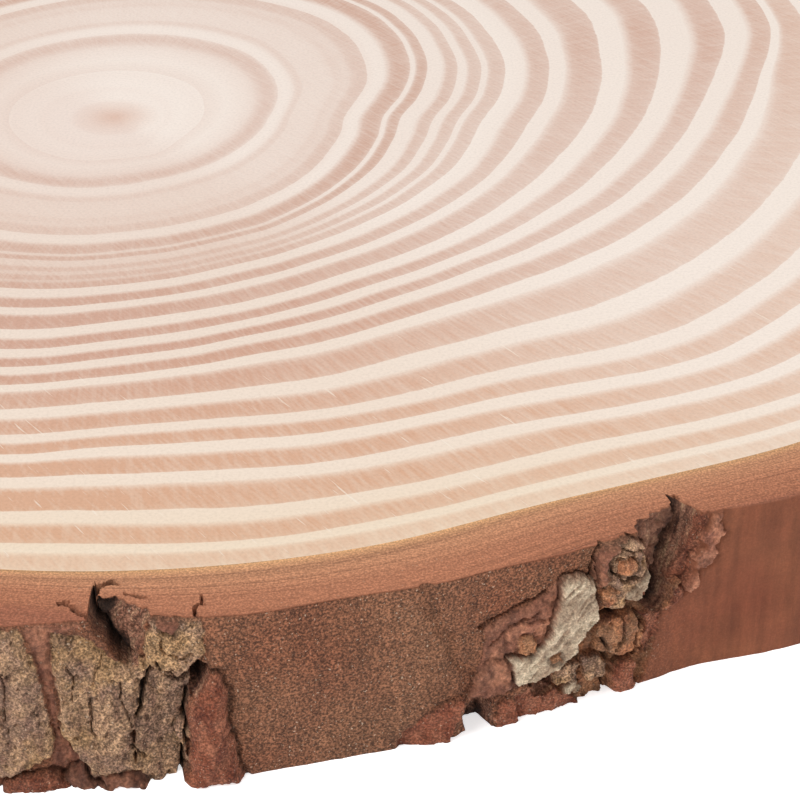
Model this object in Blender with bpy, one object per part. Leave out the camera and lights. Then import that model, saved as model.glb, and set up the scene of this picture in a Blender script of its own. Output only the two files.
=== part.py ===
"""Wood slice: a round of a conifer trunk, sawn across, sanded on both faces, with its bark grown on.

Metres, +Z up. The slice lies on its lower sawn face, with the middle of its outline at the origin.
Sizes are written in millimetres and turned into metres where the mesh is made. Angles are in degrees
round the pith: 0 along +X, 90 along +Y, and -90 towards the side where the bark is drawn closest.
"""
import bisect
import math
import random

import bmesh
import bpy
from mathutils import Vector, noise

NAME = "wood_slice"
MM = 0.001

# Driving dimensions, mm
THICKNESS = 20.0
PITH_X = -22.43
PITH_Y = -18.65

# Cambium, where wood meets bark: angle, radius from the pith
WOOD_RADIUS = (
    (-145, 97.5), (-120, 100.5), (-103, 103.5), (-89, 106.6), (-80, 108.1), (-70, 109.4), (-61, 110.0),
    (-54, 112.6), (-45, 118.3), (-30, 127.0), (-10, 137.5), (10, 147.0), (30, 153.0), (50, 153.5),
    (75, 146.0), (100, 134.0), (130, 117.5), (160, 104.0), (188, 97.5),
)
# Bark on the sawn face: angle, thickness
BARK_THICKNESS = (
    (-145, 8.2), (-115, 9.0), (-97, 8.4), (-89, 8.9), (-85, 7.6), (-81.7, 7.2), (-79, 8.0), (-72, 7.5),
    (-66, 7.9), (-62.5, 8.4), (-59, 8.2), (-54, 7.5), (-50, 8.6), (-45, 9.0), (-20, 8.4), (15, 9.6),
    (50, 8.6), (85, 9.8), (120, 8.4), (155, 9.2), (188, 8.0),
)
BARK_SWELL = 0.35
BARK_SWELL_LENGTH = 9.0
RIM_RADIUS = 120.0

# Mesh of the wall
FINE_STEP = 0.62
COARSE_STEP = 2.3
WALL_ROWS = 11

# Broken bark between smooth stretches of wall
SEED = 23
CLUSTER_ANGLES = (-38, -21, 1, 17, 41, 63, 80, 104, 127, 146, 171, 196, 218, 243, 259)
CLUSTER_HALF_ANGLE = 4.6
SHOWN_BROKEN = ((-90.0, -77.4), (-68.9, -52.0))
CRAG_RISE = 0.5
CRAG_LENGTH = 3.0

# Raised plates of old bark: angle, height, half width, half height, rise, lean in degrees
SHOWN_PLATES = (
    (-90.2, 10.0, 6.2, 8.6, 0.5, 0),
    (-84.8, 9.8, 3.0, 8.0, 0.9, 4),
    (-81.6, 9.0, 3.6, 7.2, 1.1, -4),
    (-78.9, 5.6, 2.4, 7.6, 1.2, 4),
    (-67.6, 1.2, 2.2, 1.9, 0.9, 0),
    (-64.2, 7.6, 2.6, 3.6, 1.2, 24),
    (-60.9, 12.0, 3.2, 6.2, 1.7, 20),
    (-58.0, 16.4, 2.6, 4.0, 1.6, 0),
    (-57.9, 5.2, 2.6, 4.6, 0.9, 10),
    (-64.1, 1.6, 1.6, 1.6, 1.2, 0),
    (-53.4, 13.6, 1.6, 7.2, 0.8, -6),
)
# Grooves and cracks: width, depth, then their line as angles and heights
SHOWN_GROOVES = (
    (1.3, 1.0, ((-87.3, 20.0), (-87.2, 11.0), (-86.8, 2.5))),
    (1.0, 1.2, ((-84.6, 15.5), (-84.8, 6.0))),
    (3.0, 3.6, ((-83.6, 20.6), (-82.9, 16.2))),
    (1.2, 2.0, ((-82.9, 16.0), (-82.2, 9.5))),
    (1.7, 2.8, ((-79.4, 14.6), (-79.9, 10.6))),
    (1.2, 2.0, ((-80.0, 10.5), (-80.7, 4.0), (-80.5, -0.5))),
    (2.2, 0.9, ((-68.4, 20.5), (-67.0, 11.3), (-65.6, 3.4), (-65.5, -0.5))),
    (1.4, 1.5, ((-63.0, 15.5), (-64.6, 10.8), (-66.0, 8.0))),
    (2.2, 3.8, ((-55.5, 20.6), (-56.0, 16.0), (-56.3, 10.5))),
    (1.8, 2.2, ((-56.3, 10.5), (-59.8, 8.6), (-61.6, 4.0), (-62.2, 2.4))),
)
# Cracks that reach in from the wall across the upper sawn face:
# angle at the wall, angle at the tip, reach, width at the wall, depth
SHOWN_CRACKS = (
    (-83.6, -84.5, 5.6, 2.6, 4.6),
    (-82.4, -83.1, 5.2, 2.4, 4.2),
    (-79.2, -79.1, 3.2, 0.8, 3.0),
    (-55.3, -54.2, 4.2, 2.4, 5.6),
)
# Loose-edged flakes: angle, height, half width, half height, lean, how far their middle stands out
SHOWN_FLAKES = (
    (-85.6, 4.2, 1.9, 2.6, 15, 0.9),
    (-83.4, 8.2, 1.6, 3.0, -20, 1.2),
    (-81.0, 13.6, 2.2, 2.4, 10, 1.1),
    (-79.0, 2.8, 2.2, 2.7, 5, 1.3),
    (-67.5, 1.9, 2.0, 1.5, 0, 0.8),
    (-64.1, 2.1, 1.7, 1.9, 0, 1.2),
    (-62.2, 8.3, 2.3, 1.9, 30, 1.6),
    (-59.9, 13.8, 2.6, 2.3, 35, 1.9),
    (-57.8, 17.2, 2.0, 2.1, -10, 1.7),
    (-57.6, 3.1, 1.6, 2.9, -8, 1.2),
    (-59.4, 4.6, 1.7, 2.2, 20, 1.0),
)
FLAKE_THICKNESS = 0.85
FLAKE_STAND = 0.25
FLAKE_JITTER = 0.28
# Flakes and cutters stop short of the sawn faces by this much
FACE_CLEARANCE = 0.15

WOOD_COLOUR = (0.80, 0.60, 0.45, 1.0)
WOOD_ROUGHNESS = 0.62


def remove_scene_objects():
    for thing in list(bpy.data.objects):
        bpy.data.objects.remove(thing, do_unlink=True)


def new_collection(name):
    collection = bpy.data.collections.new(name)
    bpy.context.scene.collection.children.link(collection)
    return collection


def round_value(knots, angle):
    """Value on the smooth closed curve through (angle, value) knots that run once round the pith."""
    first = knots[0][0]
    turned = (angle - first) % 360.0 + first
    index = bisect.bisect_right([knot[0] for knot in knots], turned) - 1
    count = len(knots)

    def knot(number):
        return knots[number % count][0] + 360.0 * (number // count), knots[number % count][1]

    (a0, v0), (a1, v1), (a2, v2), (a3, v3) = (knot(index + step) for step in (-1, 0, 1, 2))
    t = (turned - a1) / (a2 - a1)
    slope_1 = (v2 - v0) / (a2 - a0) * (a2 - a1)
    slope_2 = (v3 - v1) / (a3 - a1) * (a2 - a1)
    return ((2 * t ** 3 - 3 * t ** 2 + 1) * v1 + (t ** 3 - 2 * t ** 2 + t) * slope_1
            + (3 * t ** 2 - 2 * t ** 3) * v2 + (t ** 3 - t ** 2) * slope_2)


def arc_length(angle, from_angle):
    """Signed distance along the rim, mm, the short way round."""
    return math.radians((angle - from_angle + 180.0) % 360.0 - 180.0) * RIM_RADIUS


def smooth_step(low, high, value):
    t = min(max((value - low) / (high - low), 0.0), 1.0)
    return t * t * (3 - 2 * t)


def plate_rise(plate, angle, height):
    """A plate is flat on top and falls off over the outer third of its rounded outline."""
    plate_angle, plate_height, half_width, half_height, rise, lean = plate
    across = arc_length(angle, plate_angle)
    up = height - plate_height
    turn = math.radians(lean)
    x = (across * math.cos(turn) + up * math.sin(turn)) / half_width
    y = (up * math.cos(turn) - across * math.sin(turn)) / half_height
    reach = (abs(x) ** 3 + abs(y) ** 3) ** (1 / 3)
    return rise * (1 - smooth_step(0.7, 1.05, reach))


def groove_depth(groove, angle, height):
    """A groove is a round-bottomed channel along its line."""
    width, depth, line = groove
    nearest = math.inf
    for (angle_0, height_0), (angle_1, height_1) in zip(line, line[1:]):
        run = Vector((arc_length(angle_1, angle_0), height_1 - height_0))
        here = Vector((arc_length(angle, angle_0), height - height_0))
        share = min(max(here.dot(run) / run.length_squared, 0.0), 1.0)
        nearest = min(nearest, (here - run * share).length)
    return depth * (1 - smooth_step(0.15 * width, 0.75 * width, nearest))


def grown_cluster(angle, dice):
    """Plates, grooves, cracks and flakes of one broken stretch like those drawn by hand."""
    lean = dice.uniform(-18, 18)
    drift = math.tan(math.radians(lean)) * THICKNESS / RIM_RADIUS * 180 / math.pi
    low, high = angle - drift / 2, angle + drift / 2
    kink = angle + dice.uniform(-0.5, 0.5)
    grooves = [(dice.uniform(1.8, 2.8), dice.uniform(2.4, 3.8),
                ((high, THICKNESS + 1), (kink, dice.uniform(8, 13)), (low, dice.uniform(-1, 4))))]
    plates = []
    flakes = []
    for side in (-1, 1):
        middle = angle + side * dice.uniform(1.5, 2.1)
        for step in range(2):
            height = THICKNESS * (0.25 + 0.5 * step) + dice.uniform(-1.5, 1.5)
            plates.append((middle + dice.uniform(-0.5, 0.5), height, dice.uniform(2.2, 3.4),
                           dice.uniform(3.6, 5.4), dice.uniform(0.6, 1.5), lean))
            flakes.append((middle + dice.uniform(-0.7, 0.7), height + dice.uniform(-1.5, 1.5),
                           dice.uniform(1.5, 2.3), dice.uniform(1.6, 2.6), dice.uniform(-35, 35),
                           dice.uniform(0.8, 1.4)))
        edge = angle + side * dice.uniform(3.2, 3.8)
        grooves.append((dice.uniform(1.0, 1.5), dice.uniform(0.7, 1.4),
                        ((edge, dice.uniform(15, 21)), (edge - side * 0.4, dice.uniform(0, 7)))))
    cracks = [(high, high + dice.uniform(-0.8, 0.8), dice.uniform(3.0, 5.0), dice.uniform(1.4, 2.4),
               dice.uniform(3.5, 6.0))]
    return plates, grooves, cracks, dice.sample(flakes, 3)


def all_bark_features():
    """Hand-placed features of the side drawn closest, then those grown by rule round the rest."""
    dice = random.Random(SEED)
    plates, grooves = list(SHOWN_PLATES), list(SHOWN_GROOVES)
    cracks, flakes = list(SHOWN_CRACKS), list(SHOWN_FLAKES)
    for angle in CLUSTER_ANGLES:
        more_plates, more_grooves, more_cracks, more_flakes = grown_cluster(angle, dice)
        plates += more_plates
        grooves += more_grooves
        cracks += more_cracks
        flakes += more_flakes
    return plates, grooves, cracks, flakes


def is_broken(angle):
    """True where the wall is cracked and plated, and so needs closer columns."""
    if any(low <= (angle + 180.0) % 360.0 - 180.0 <= high for low, high in SHOWN_BROKEN):
        return True
    return any(abs(arc_length(angle, middle)) < math.radians(CLUSTER_HALF_ANGLE) * RIM_RADIUS
               for middle in CLUSTER_ANGLES)


def column_angles():
    """Angles of the wall's columns, close together over broken bark and wide over smooth wall."""
    angles = [SHOWN_BROKEN[0][0] - 2 * FINE_STEP]
    end = angles[0] + 360.0
    while True:
        step = FINE_STEP if is_broken(angles[-1]) or is_broken(angles[-1] + COARSE_STEP) else COARSE_STEP
        if angles[-1] + step > end - FINE_STEP / 2:
            return angles
        angles.append(angles[-1] + step)


def bark_radius(angle):
    """Outline of the bark on the sawn faces, before its plates and grooves."""
    return round_value(WOOD_RADIUS, angle) + round_value(BARK_THICKNESS, angle)


def rim_point(angle, radius, height):
    """A point in metres, from its angle and radius round the pith in mm."""
    turn = math.radians(angle)
    return Vector((PITH_X + radius * math.cos(turn), PITH_Y + radius * math.sin(turn), height)) * MM


def wall_radius(angle, height, plates, grooves):
    rise = max((plate_rise(plate, angle, height) for plate in plates), default=0.0)
    cut = max((groove_depth(groove, angle, height) for groove in grooves), default=0.0)
    turn = math.radians(angle)
    place = Vector((RIM_RADIUS * math.cos(turn), RIM_RADIUS * math.sin(turn), height))
    swell = BARK_SWELL * noise.noise(place / BARK_SWELL_LENGTH)
    crag = 0.0
    if rise > 0:
        crag = CRAG_RISE * min(rise, 1.0) * noise.noise(place / CRAG_LENGTH)
    return bark_radius(angle) + rise + swell + crag - cut


def make_round(collection, plates, grooves):
    """A cylinder with loops down its side, whose points move to the outline and the bark's relief."""
    angles = column_angles()
    bpy.ops.mesh.primitive_cylinder_add(vertices=len(angles), radius=RIM_RADIUS * MM,
                                        depth=THICKNESS * MM, end_fill_type="NGON")
    slice_object = bpy.context.active_object
    slice_object.name = NAME
    slice_object.data.name = NAME
    for holder in list(slice_object.users_collection):
        holder.objects.unlink(slice_object)
    collection.objects.link(slice_object)
    body = bmesh.new()
    body.from_mesh(slice_object.data)
    uprights = [edge for edge in body.edges if abs(edge.verts[0].co.z - edge.verts[1].co.z) > MM]
    bmesh.ops.subdivide_edges(body, edges=uprights, cuts=WALL_ROWS - 1, use_grid_fill=False)
    for vert in body.verts:
        turn = math.degrees(math.atan2(vert.co.y, vert.co.x)) % 360.0
        column = round(turn / 360.0 * len(angles)) % len(angles)
        height = vert.co.z / MM + THICKNESS / 2
        radius = wall_radius(angles[column], height, plates, grooves)
        vert.co = rim_point(angles[column], radius, height)
    bmesh.ops.recalc_face_normals(body, faces=body.faces)
    body.to_mesh(slice_object.data)
    body.free()
    return slice_object


def make_crack_cutter(number, crack, collection):
    """A four-cornered wedge: its tip lies in the sawn face, its back outside the wall."""
    wall_angle, tip_angle, reach, width, depth = crack
    outside = bark_radius(wall_angle) + 3.0
    inside = bark_radius(tip_angle) - reach
    half = math.degrees(width * (3.0 + reach) / reach / 2 / outside)
    top = THICKNESS + 1.0
    corners = (rim_point(tip_angle, inside, top), rim_point(wall_angle - half, outside, top),
               rim_point(wall_angle + half, outside, top))
    foot = rim_point(wall_angle, outside - 1.0, THICKNESS - depth * 1.5)
    wedge = bmesh.new()
    bmesh.ops.create_cone(wedge, cap_ends=True, segments=3, radius1=1.0, radius2=0.0, depth=1.0)
    base = [vert for vert in wedge.verts if vert.co.z < 0]
    peaks = [vert for vert in wedge.verts if vert.co.z > 0]
    for vert, corner in zip(base, corners):
        vert.co = corner
    for vert in peaks:
        vert.co = foot
    bmesh.ops.remove_doubles(wedge, verts=wedge.verts, dist=0.01 * MM)
    bmesh.ops.recalc_face_normals(wedge, faces=wedge.faces)
    mesh = bpy.data.meshes.new(f"crack_{number:02d}")
    wedge.to_mesh(mesh)
    wedge.free()
    cutter = bpy.data.objects.new(mesh.name, mesh)
    cutter.hide_render = True
    cutter.display_type = "WIRE"
    collection.objects.link(cutter)


def make_flake(number, flake, dice, plates, grooves, collection):
    """A flattened, chipped lump that stands off the wall, thin at its upper edge."""
    angle, height, half_width, half_height, lean, stand = flake
    turn = math.radians(lean)
    lump = bmesh.new()
    bmesh.ops.create_icosphere(lump, subdivisions=1, radius=1.0)
    base_radius = wall_radius(angle, height, plates, [])
    for vert in lump.verts:
        jitter = 1 + dice.uniform(-FLAKE_JITTER, FLAKE_JITTER)
        across, up = vert.co.x * half_width * jitter, vert.co.y * half_height * jitter
        out = vert.co.z * FLAKE_THICKNESS + stand * FLAKE_STAND
        along = across * math.cos(turn) - up * math.sin(turn)
        level = height + across * math.sin(turn) + up * math.cos(turn)
        level = min(max(level, FACE_CLEARANCE), THICKNESS - FACE_CLEARANCE)
        vert.co = rim_point(angle + math.degrees(along / RIM_RADIUS), base_radius + out, level)
    bmesh.ops.recalc_face_normals(lump, faces=lump.faces)
    mesh = bpy.data.meshes.new(f"flake_{number:02d}")
    lump.to_mesh(mesh)
    lump.free()
    collection.objects.link(bpy.data.objects.new(mesh.name, mesh))


def apply_boolean(slice_object, operation, collection):
    """Cuts or joins a whole collection at once, then clears the collection away."""
    modifier = slice_object.modifiers.new(operation.lower(), "BOOLEAN")
    modifier.operation = operation
    modifier.operand_type = "COLLECTION"
    modifier.collection = collection
    modifier.solver = "EXACT"
    bpy.context.view_layer.objects.active = slice_object
    bpy.ops.object.modifier_apply(modifier=modifier.name)
    for thing in list(collection.objects):
        bpy.data.objects.remove(thing, do_unlink=True)
    bpy.data.collections.remove(collection)


def drop_loose_scraps(slice_object):
    """Keeps the one large body where a crack has cut a flake's corner free."""
    body = bmesh.new()
    body.from_mesh(slice_object.data)
    unseen = set(body.verts)
    islands = []
    while unseen:
        island, front = set(), [unseen.pop()]
        while front:
            vert = front.pop()
            island.add(vert)
            near = [edge.other_vert(vert) for edge in vert.link_edges]
            fresh = [other for other in near if other in unseen]
            unseen.difference_update(fresh)
            front.extend(fresh)
        islands.append(island)
    islands.sort(key=len)
    scraps = [vert for island in islands[:-1] for vert in island]
    bmesh.ops.delete(body, geom=scraps, context="VERTS")
    body.to_mesh(slice_object.data)
    body.free()


def make_material():
    material = bpy.data.materials.new("sanded_wood")
    material.use_nodes = True
    shader = material.node_tree.nodes["Principled BSDF"]
    shader.inputs["Base Color"].default_value = WOOD_COLOUR
    shader.inputs["Roughness"].default_value = WOOD_ROUGHNESS
    shader.inputs["Metallic"].default_value = 0.0
    return material


def main():
    remove_scene_objects()
    dice = random.Random(SEED + 1)
    plates, grooves, cracks, flakes = all_bark_features()
    slice_object = make_round(new_collection(NAME), plates, grooves)
    flake_collection = new_collection("flakes")
    for number, flake in enumerate(flakes):
        make_flake(number, flake, dice, plates, grooves, flake_collection)
    apply_boolean(slice_object, "UNION", flake_collection)
    cutters = new_collection("cutters")
    for number, crack in enumerate(cracks):
        make_crack_cutter(number, crack, cutters)
    apply_boolean(slice_object, "DIFFERENCE", cutters)
    drop_loose_scraps(slice_object)
    slice_object.data.materials.clear()
    slice_object.data.materials.append(make_material())
    slice_object.data.shade_flat()


main()
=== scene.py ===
"""Wood slice: finished look of a sanded conifer round with its bark left on."""
import math
import random

import bpy
import numpy as np
from bpy.props import FloatProperty, FloatVectorProperty, IntProperty, PointerProperty
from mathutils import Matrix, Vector, noise


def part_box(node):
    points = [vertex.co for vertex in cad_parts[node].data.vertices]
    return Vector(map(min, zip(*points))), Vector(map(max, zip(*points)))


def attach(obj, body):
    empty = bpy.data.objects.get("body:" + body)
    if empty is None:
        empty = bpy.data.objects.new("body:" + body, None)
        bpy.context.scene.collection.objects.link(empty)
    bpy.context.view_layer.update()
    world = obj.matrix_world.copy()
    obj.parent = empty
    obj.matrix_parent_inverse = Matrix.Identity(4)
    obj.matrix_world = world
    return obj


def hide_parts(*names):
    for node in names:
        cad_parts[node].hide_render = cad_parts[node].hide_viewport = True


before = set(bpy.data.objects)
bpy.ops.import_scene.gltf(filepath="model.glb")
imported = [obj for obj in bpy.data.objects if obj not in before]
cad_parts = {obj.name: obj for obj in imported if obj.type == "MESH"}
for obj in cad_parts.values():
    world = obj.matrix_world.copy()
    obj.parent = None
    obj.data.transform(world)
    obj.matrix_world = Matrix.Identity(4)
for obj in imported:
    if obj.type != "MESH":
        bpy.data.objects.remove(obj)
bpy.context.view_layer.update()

bl_info = {
    "name": "Wood Slice",
    "version": (1, 0, 0),
    "blender": (4, 5, 0),
    "location": "View3D > Sidebar > Wood Slice",
    "description": "Builds the sanded wood and the broken bark of a conifer slice",
    "category": "Add Mesh",
}

NODE = "wood_slice"
BODY = "root"
MM = 0.001
THICKNESS = (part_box(NODE)[1].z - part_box(NODE)[0].z) / MM
PITH_X = -22.43
PITH_Y = -18.65
RIM_RADIUS = 120.0
WELD = 1e-6

# Outlines, mm from the pith at angles round it: 0 is +X, -90 is towards the camera
WOOD_RADIUS = (
    (-145, 97.5), (-120, 100.5), (-103, 103.5), (-89, 106.6), (-80, 108.1), (-70, 109.4), (-61, 110.0),
    (-54, 112.6), (-45, 118.3), (-30, 127.0), (-10, 137.5), (10, 147.0), (30, 153.0), (50, 153.5),
    (75, 146.0), (100, 134.0), (130, 117.5), (160, 104.0), (188, 97.5),
)
BARK_THICKNESS = (
    (-145, 8.2), (-115, 9.0), (-97, 8.4), (-89, 8.9), (-85, 7.6), (-81.7, 7.2), (-79, 8.0), (-72, 7.5),
    (-66, 7.9), (-62.5, 8.4), (-59, 8.2), (-54, 7.5), (-50, 8.6), (-45, 9.0), (-20, 8.4), (15, 9.6),
    (50, 8.6), (85, 9.8), (120, 8.4), (155, 9.2), (188, 8.0),
)

# Growth rings. A ring is named by its radius at the front, and its shape is given by its radius
# at these angles round the pith
WOOD_FRONT = 107.0
RING_ANGLES = (-150, -120, -105, -95, -90, -85, -80, -75, -70, -65, -60, -55, -50, -45, -40, -30, -20,
               -10, 0, 10, 20, 30, 45, 60, 90, 120, 150, 180)
RING_SHAPES = {
    10: (10, 10.2, 10.5, 10.4, 10.2, 10.1, 10, 10.1, 10.3, 10.5, 10.4, 10, 9.4, 8.8, 8.3, 7.9, 7.7,
         7.7, 7.7, 7.7, 7.8, 8, 8.5, 9, 10, 10.5, 10.6, 10.3),
    20: (21, 20.8, 20.7, 20.5, 20.4, 20.1, 20, 19.8, 19.5, 19.5, 19.3, 19.3, 19.2, 19.2, 19.1, 18.9, 19,
         19.4, 19.8, 20.7, 21.6, 22.9, 24.9, 26.6, 28.1, 27, 24.5, 22.3),
    30: (31, 30.7, 30.3, 30.4, 30.3, 30.1, 30, 29.7, 29.4, 29.2, 28.9, 28.7, 28.5, 28.4, 28.2, 27.7, 27.2,
         27.1, 27.3, 28.6, 30.9, 32.8, 35.8, 39.2, 41.3, 38.5, 35, 32.5),
    40: (40.5, 40.8, 40.8, 40.7, 40.6, 40.3, 40, 39.9, 39.7, 39.5, 39.3, 39.3, 38.9, 38.5, 38.2, 37.6, 37.1,
         36.9, 37, 39.8, 43.3, 46.6, 51.7, 54.9, 55.1, 50.5, 45.5, 42),
    50: (49.5, 50.3, 51, 51, 50.8, 50.3, 50, 49.7, 49.2, 49, 49, 48.9, 48.9, 49, 49.2, 49.8, 50.7,
         51.3, 52.9, 56.7, 60.2, 63.2, 68, 71, 69.4, 62.5, 56, 51.5),
    60: (58, 59.9, 61.9, 62.1, 61.6, 60.6, 60, 59.7, 59.5, 59.2, 59.1, 59, 59.2, 59.8, 60.5, 61.9, 63.8,
         66.4, 69.9, 73.8, 78.5, 84, 88.4, 89.3, 85.4, 76.5, 67.5, 61),
    70: (66.5, 69.4, 71.8, 72, 71.5, 70.6, 70, 69.7, 69.3, 69.4, 69.5, 69.6, 70.1, 71.1, 72.4, 75.9, 79.6,
         83.3, 88, 94.6, 103.7, 109.1, 111, 108.7, 100.2, 88.5, 77.5, 70.5),
    75: (70.8, 73.6, 76.2, 76.7, 76.2, 75.3, 75, 75, 75.3, 75.8, 76, 76.4, 77.5, 79.3, 81.5, 85.2, 88.6,
         92, 96.3, 100.8, 108.5, 113.4, 115.3, 113, 105.4, 94, 82.2, 75.1),
    80: (75, 77.8, 80.7, 81.3, 80.9, 80.1, 80, 80.3, 81.3, 82.1, 82.7, 83.5, 85.1, 88, 90.6, 93.8, 96.7,
         101.4, 106.7, 112.4, 117.5, 121, 123.1, 120.9, 112.1, 99.5, 87, 79.5),
    85: (79, 82.4, 85.2, 85.9, 85.8, 85, 85, 85.6, 87.1, 88.1, 89, 90.2, 92.9, 96.7, 99.5, 102.6, 105.6,
         110.2, 115.4, 120.9, 126, 129.4, 131.2, 128.8, 119.1, 105.4, 92.1, 83.9),
    90: (83, 86.6, 89, 89.9, 89.8, 89.5, 90, 91, 92.4, 93.2, 94.1, 95.9, 99.1, 102.8, 105.9, 109.3,
         112.9, 117.4, 122.4, 127.9, 132.8, 136.1, 137.7, 135.2, 125, 111, 97, 88),
    95: (87.1, 90.7, 93.2, 94.3, 94.5, 94.5, 95.2, 96.5, 97.6, 98.4, 99.3, 100.8, 104.1, 107.7, 110.9, 115.2,
         119.2, 123.9, 128.8, 134.1, 138.7, 141.7, 143.2, 140.6, 129.8, 115.2, 100.8, 91.5),
    100: (91.3, 94.6, 97, 98.5, 99.1, 99.4, 100.6, 101.9, 102.4, 103.1, 103.8, 105.5, 108.3, 111.9, 115.1,
          119.9, 124.5, 129.4, 134.4, 139.3, 143.5, 146.3, 147.6, 144.9, 133.7, 118.5, 103.8, 94.5),
}
# Each year: where its pale wood starts, where its brown wood starts and ends, how brown each is
YEARS = (
    (0, 4, 6, 0.06, 0.12), (6, 9, 10.5, 0.03, 0.09), (10.5, 12.3, 14, 0.02, 0.09),
    (14, 18.9, 22.4, 0.02, 0.74), (22.4, 25, 27, 0.04, 0.48), (27, 31.4, 32.6, 0.27, 0.42),
    (32.6, 33.8, 35.9, 0.36, 0.62), (35.9, 38.3, 40.8, 0.08, 0.93), (40.8, 41.4, 42.6, 0.36, 0.88),
    (42.6, 44.3, 45.5, 0.38, 0.72), (45.5, 46.4, 47.6, 0.50, 0.76), (47.6, 48.2, 49.7, 0.56, 0.84),
    (49.7, 51.8, 53.8, 0.14, 1), (53.8, 55.5, 58.5, 0.12, 1), (58.5, 60.7, 62.8, 0.08, 1),
    (62.8, 64.8, 66.7, 0.10, 1), (66.7, 68.6, 70.8, 0.10, 1), (70.8, 72.6, 76.4, 0.06, 0.94),
    (76.4, 78.8, 81.8, 0.06, 0.95), (81.8, 83.6, 85.8, 0.09, 0.96), (85.8, 88, 91.2, 0.05, 1),
    (91.2, 93.5, 97.7, 0.06, 1), (97.7, 100.2, 103.1, 0.07, 0.92), (103.1, 104.6, 107, 0.10, 0.66),
)
# How strongly the rings show, by angle. The fade towards the right side is partly the wood's own and partly
# painted light.
RING_STRENGTH = (
    (-140, 1.0), (-108, 1.12), (-92, 1.05), (-80, 1.0), (-62, 0.84), (-45, 0.70), (-25, 0.58), (-5, 0.60),
    (15, 0.70), (60, 0.72), (120, 0.85), (180, 0.95),
)
# The years between these rings run together at the front. They part and get paler between the first
# angles, up to the second ones
CROWDED_YEARS = (36.0, 50.0)
CROWDED_FADE = (-68.0, -30.0)
CROWDED_END = (90.0, 150.0)
CROWDED_PALER = 0.7
# The strength by angle starts to count at the first of these rings, and counts in full from the second
INNER_RINGS = (41.0, 52.0)
# Columns of the wood, the widest gap in mm between its loops, and how sharp a year's last edge is
WOOD_COLUMNS = 480
WIDEST_GAP = 3.5
YEAR_EDGE = 0.06
# The rings' waver: size of its lumps, the rings where it fades in and those where it fades out
RING_WAVER_LENGTH = 9.0
WAVER_START = (8.0, 30.0)
WAVER_END = (100.0, 106.0)
# Way of the sanding scratches, and size of the dark heart in mm
SCRATCH_TURN = math.radians(-53.0)
HEART_RADIUS = 6.5

# Columns of the bark: first angle, last angle and step of each stretch in view, and the two sides
FRONT_SPANS = ((-96.0, -90.0, 0.24), (-90.0, -77.0, 0.07), (-77.0, -69.0, 0.25), (-69.0, -55.3, 0.07),
               (-55.3, -53.3, 0.04), (-53.3, -52.0, 0.08), (-52.0, -44.0, 0.25))
BROKEN_STEP = 0.2
SMOOTH_STEP = 0.36
SIDE_SPANS = (("bark_right", -44.0, 115.0), ("bark_left", 115.0, 264.0))
TOP_ROWS = 41
WALL_ROWS = 110
UNDER_ROWS = 7
SAWN_ROUGHNESS = 0.10
THINNEST_BARK = 1.2
FRONT_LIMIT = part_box(NODE)[0].y / MM + 0.1

# Broken bark outside the photo, grown by rule: middle of each stretch, mm it reaches, its pieces
CLUSTER_ANGLES = (-38, -21, 1, 17, 41, 63, 80, 104, 127, 146, 171, 196, 218, 243, 259)
CLUSTER_HALF_ANGLE = 4.6
CLUSTER_REACH = 22.0
JAGGED_CORNERS = 11
LOW_PATCHES = 4

# Noise over the wall: mm that set each pattern apart, size of its lumps in mm, finer octaves
WALL_NOISE = {
    "swell": (0.0, 9.0, 1), "rough": (0.0, 2.4, 5), "fine": (20.0, 0.8, 3), "edge": (50.0, 1.9, 1),
    "fine edge": (90.0, 0.7, 1), "line along": (130.0, 1.5, 2), "line up": (170.0, 1.5, 2),
    "pits": (210.0, 0.8, 2), "wander": (250.0, 5.0, 2),
}
SWELL = 0.35
FLUTES = 0.08
EDGE_WAVER = 0.6
LINE_WAVER = 0.38
STREAK_ANGLE = -62.0
# Plates: crumbling layers, width of an edge, and the moat round them, a shallow groove with painted shadow in
# it
LAYERS = 2.6
LAYER_STEP = 0.4
PLATE_EDGE = 0.2
CURL_LENGTH = 0.3
FAR_OUTSIDE = -9.0
MOAT_REACH = (-0.45, -0.08)
MOAT_DEPTH = 0.3
MOAT_SHADE = 0.38
# Notches: depth of a torn layer, depths where they look torn and where painted shade darkens them, and how
# high the painted shade at the foot reaches
NOTCH_LAYER = 0.5
NOTCH_ROUGHNESS = 0.4
NOTCH_SHADE = 0.95
TORN_DEPTH = (0.1, 0.6)
PAINTED_SHADE_DEPTH = (2.3, 3.1)
FOOT_SHADE_DEPTH = (1.2, 2.2)
FOOT_HEIGHT = (1.2, 3.5)
# Grooves: width from which a crack is one, how far it wanders and how dark its painted shade is
WIDE_GROOVE = 1.0
GROOVE_WANDER = 1.0
GROOVE_SHADE = 0.6
PIT_DEPTH = 0.25
# Finishes of the bark: how rough, how streaked and how far curled at its edge each one is
FINISHES = ("khaki", "grey", "purple", "orange", "red")
KHAKI, GREY, PURPLE, ORANGE, RED = FINISHES
GRAIN = {KHAKI: (1.0, 0.125, -0.12), GREY: (0.9, 0.25, 0.16), PURPLE: (0.95, 0.1, -0.04),
         ORANGE: (1.0, 0.2, -0.1), RED: (0.85, 0.05, 0.1)}
# Their colours: dark grain, light grain, spots, how strong the spots are, and the lumps' contrast
FINISH_COLOURS = {
    KHAKI: ((112, 82, 65), (178, 142, 110), (128, 99, 85), 0.55, (0.84, 1.18)),
    GREY: ((136, 111, 90), (202, 183, 156), (142, 114, 92), 0.6, (0.84, 1.18)),
    RED: ((96, 50, 35), (150, 96, 72), (122, 66, 45), 0.6, None),
    PURPLE: ((102, 65, 51), (164, 111, 85), (122, 76, 59), 0.6, (0.74, 1.30)),
    ORANGE: ((96, 58, 42), (170, 113, 77), (160, 122, 90), 0.4, (0.84, 1.18)),
}
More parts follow.
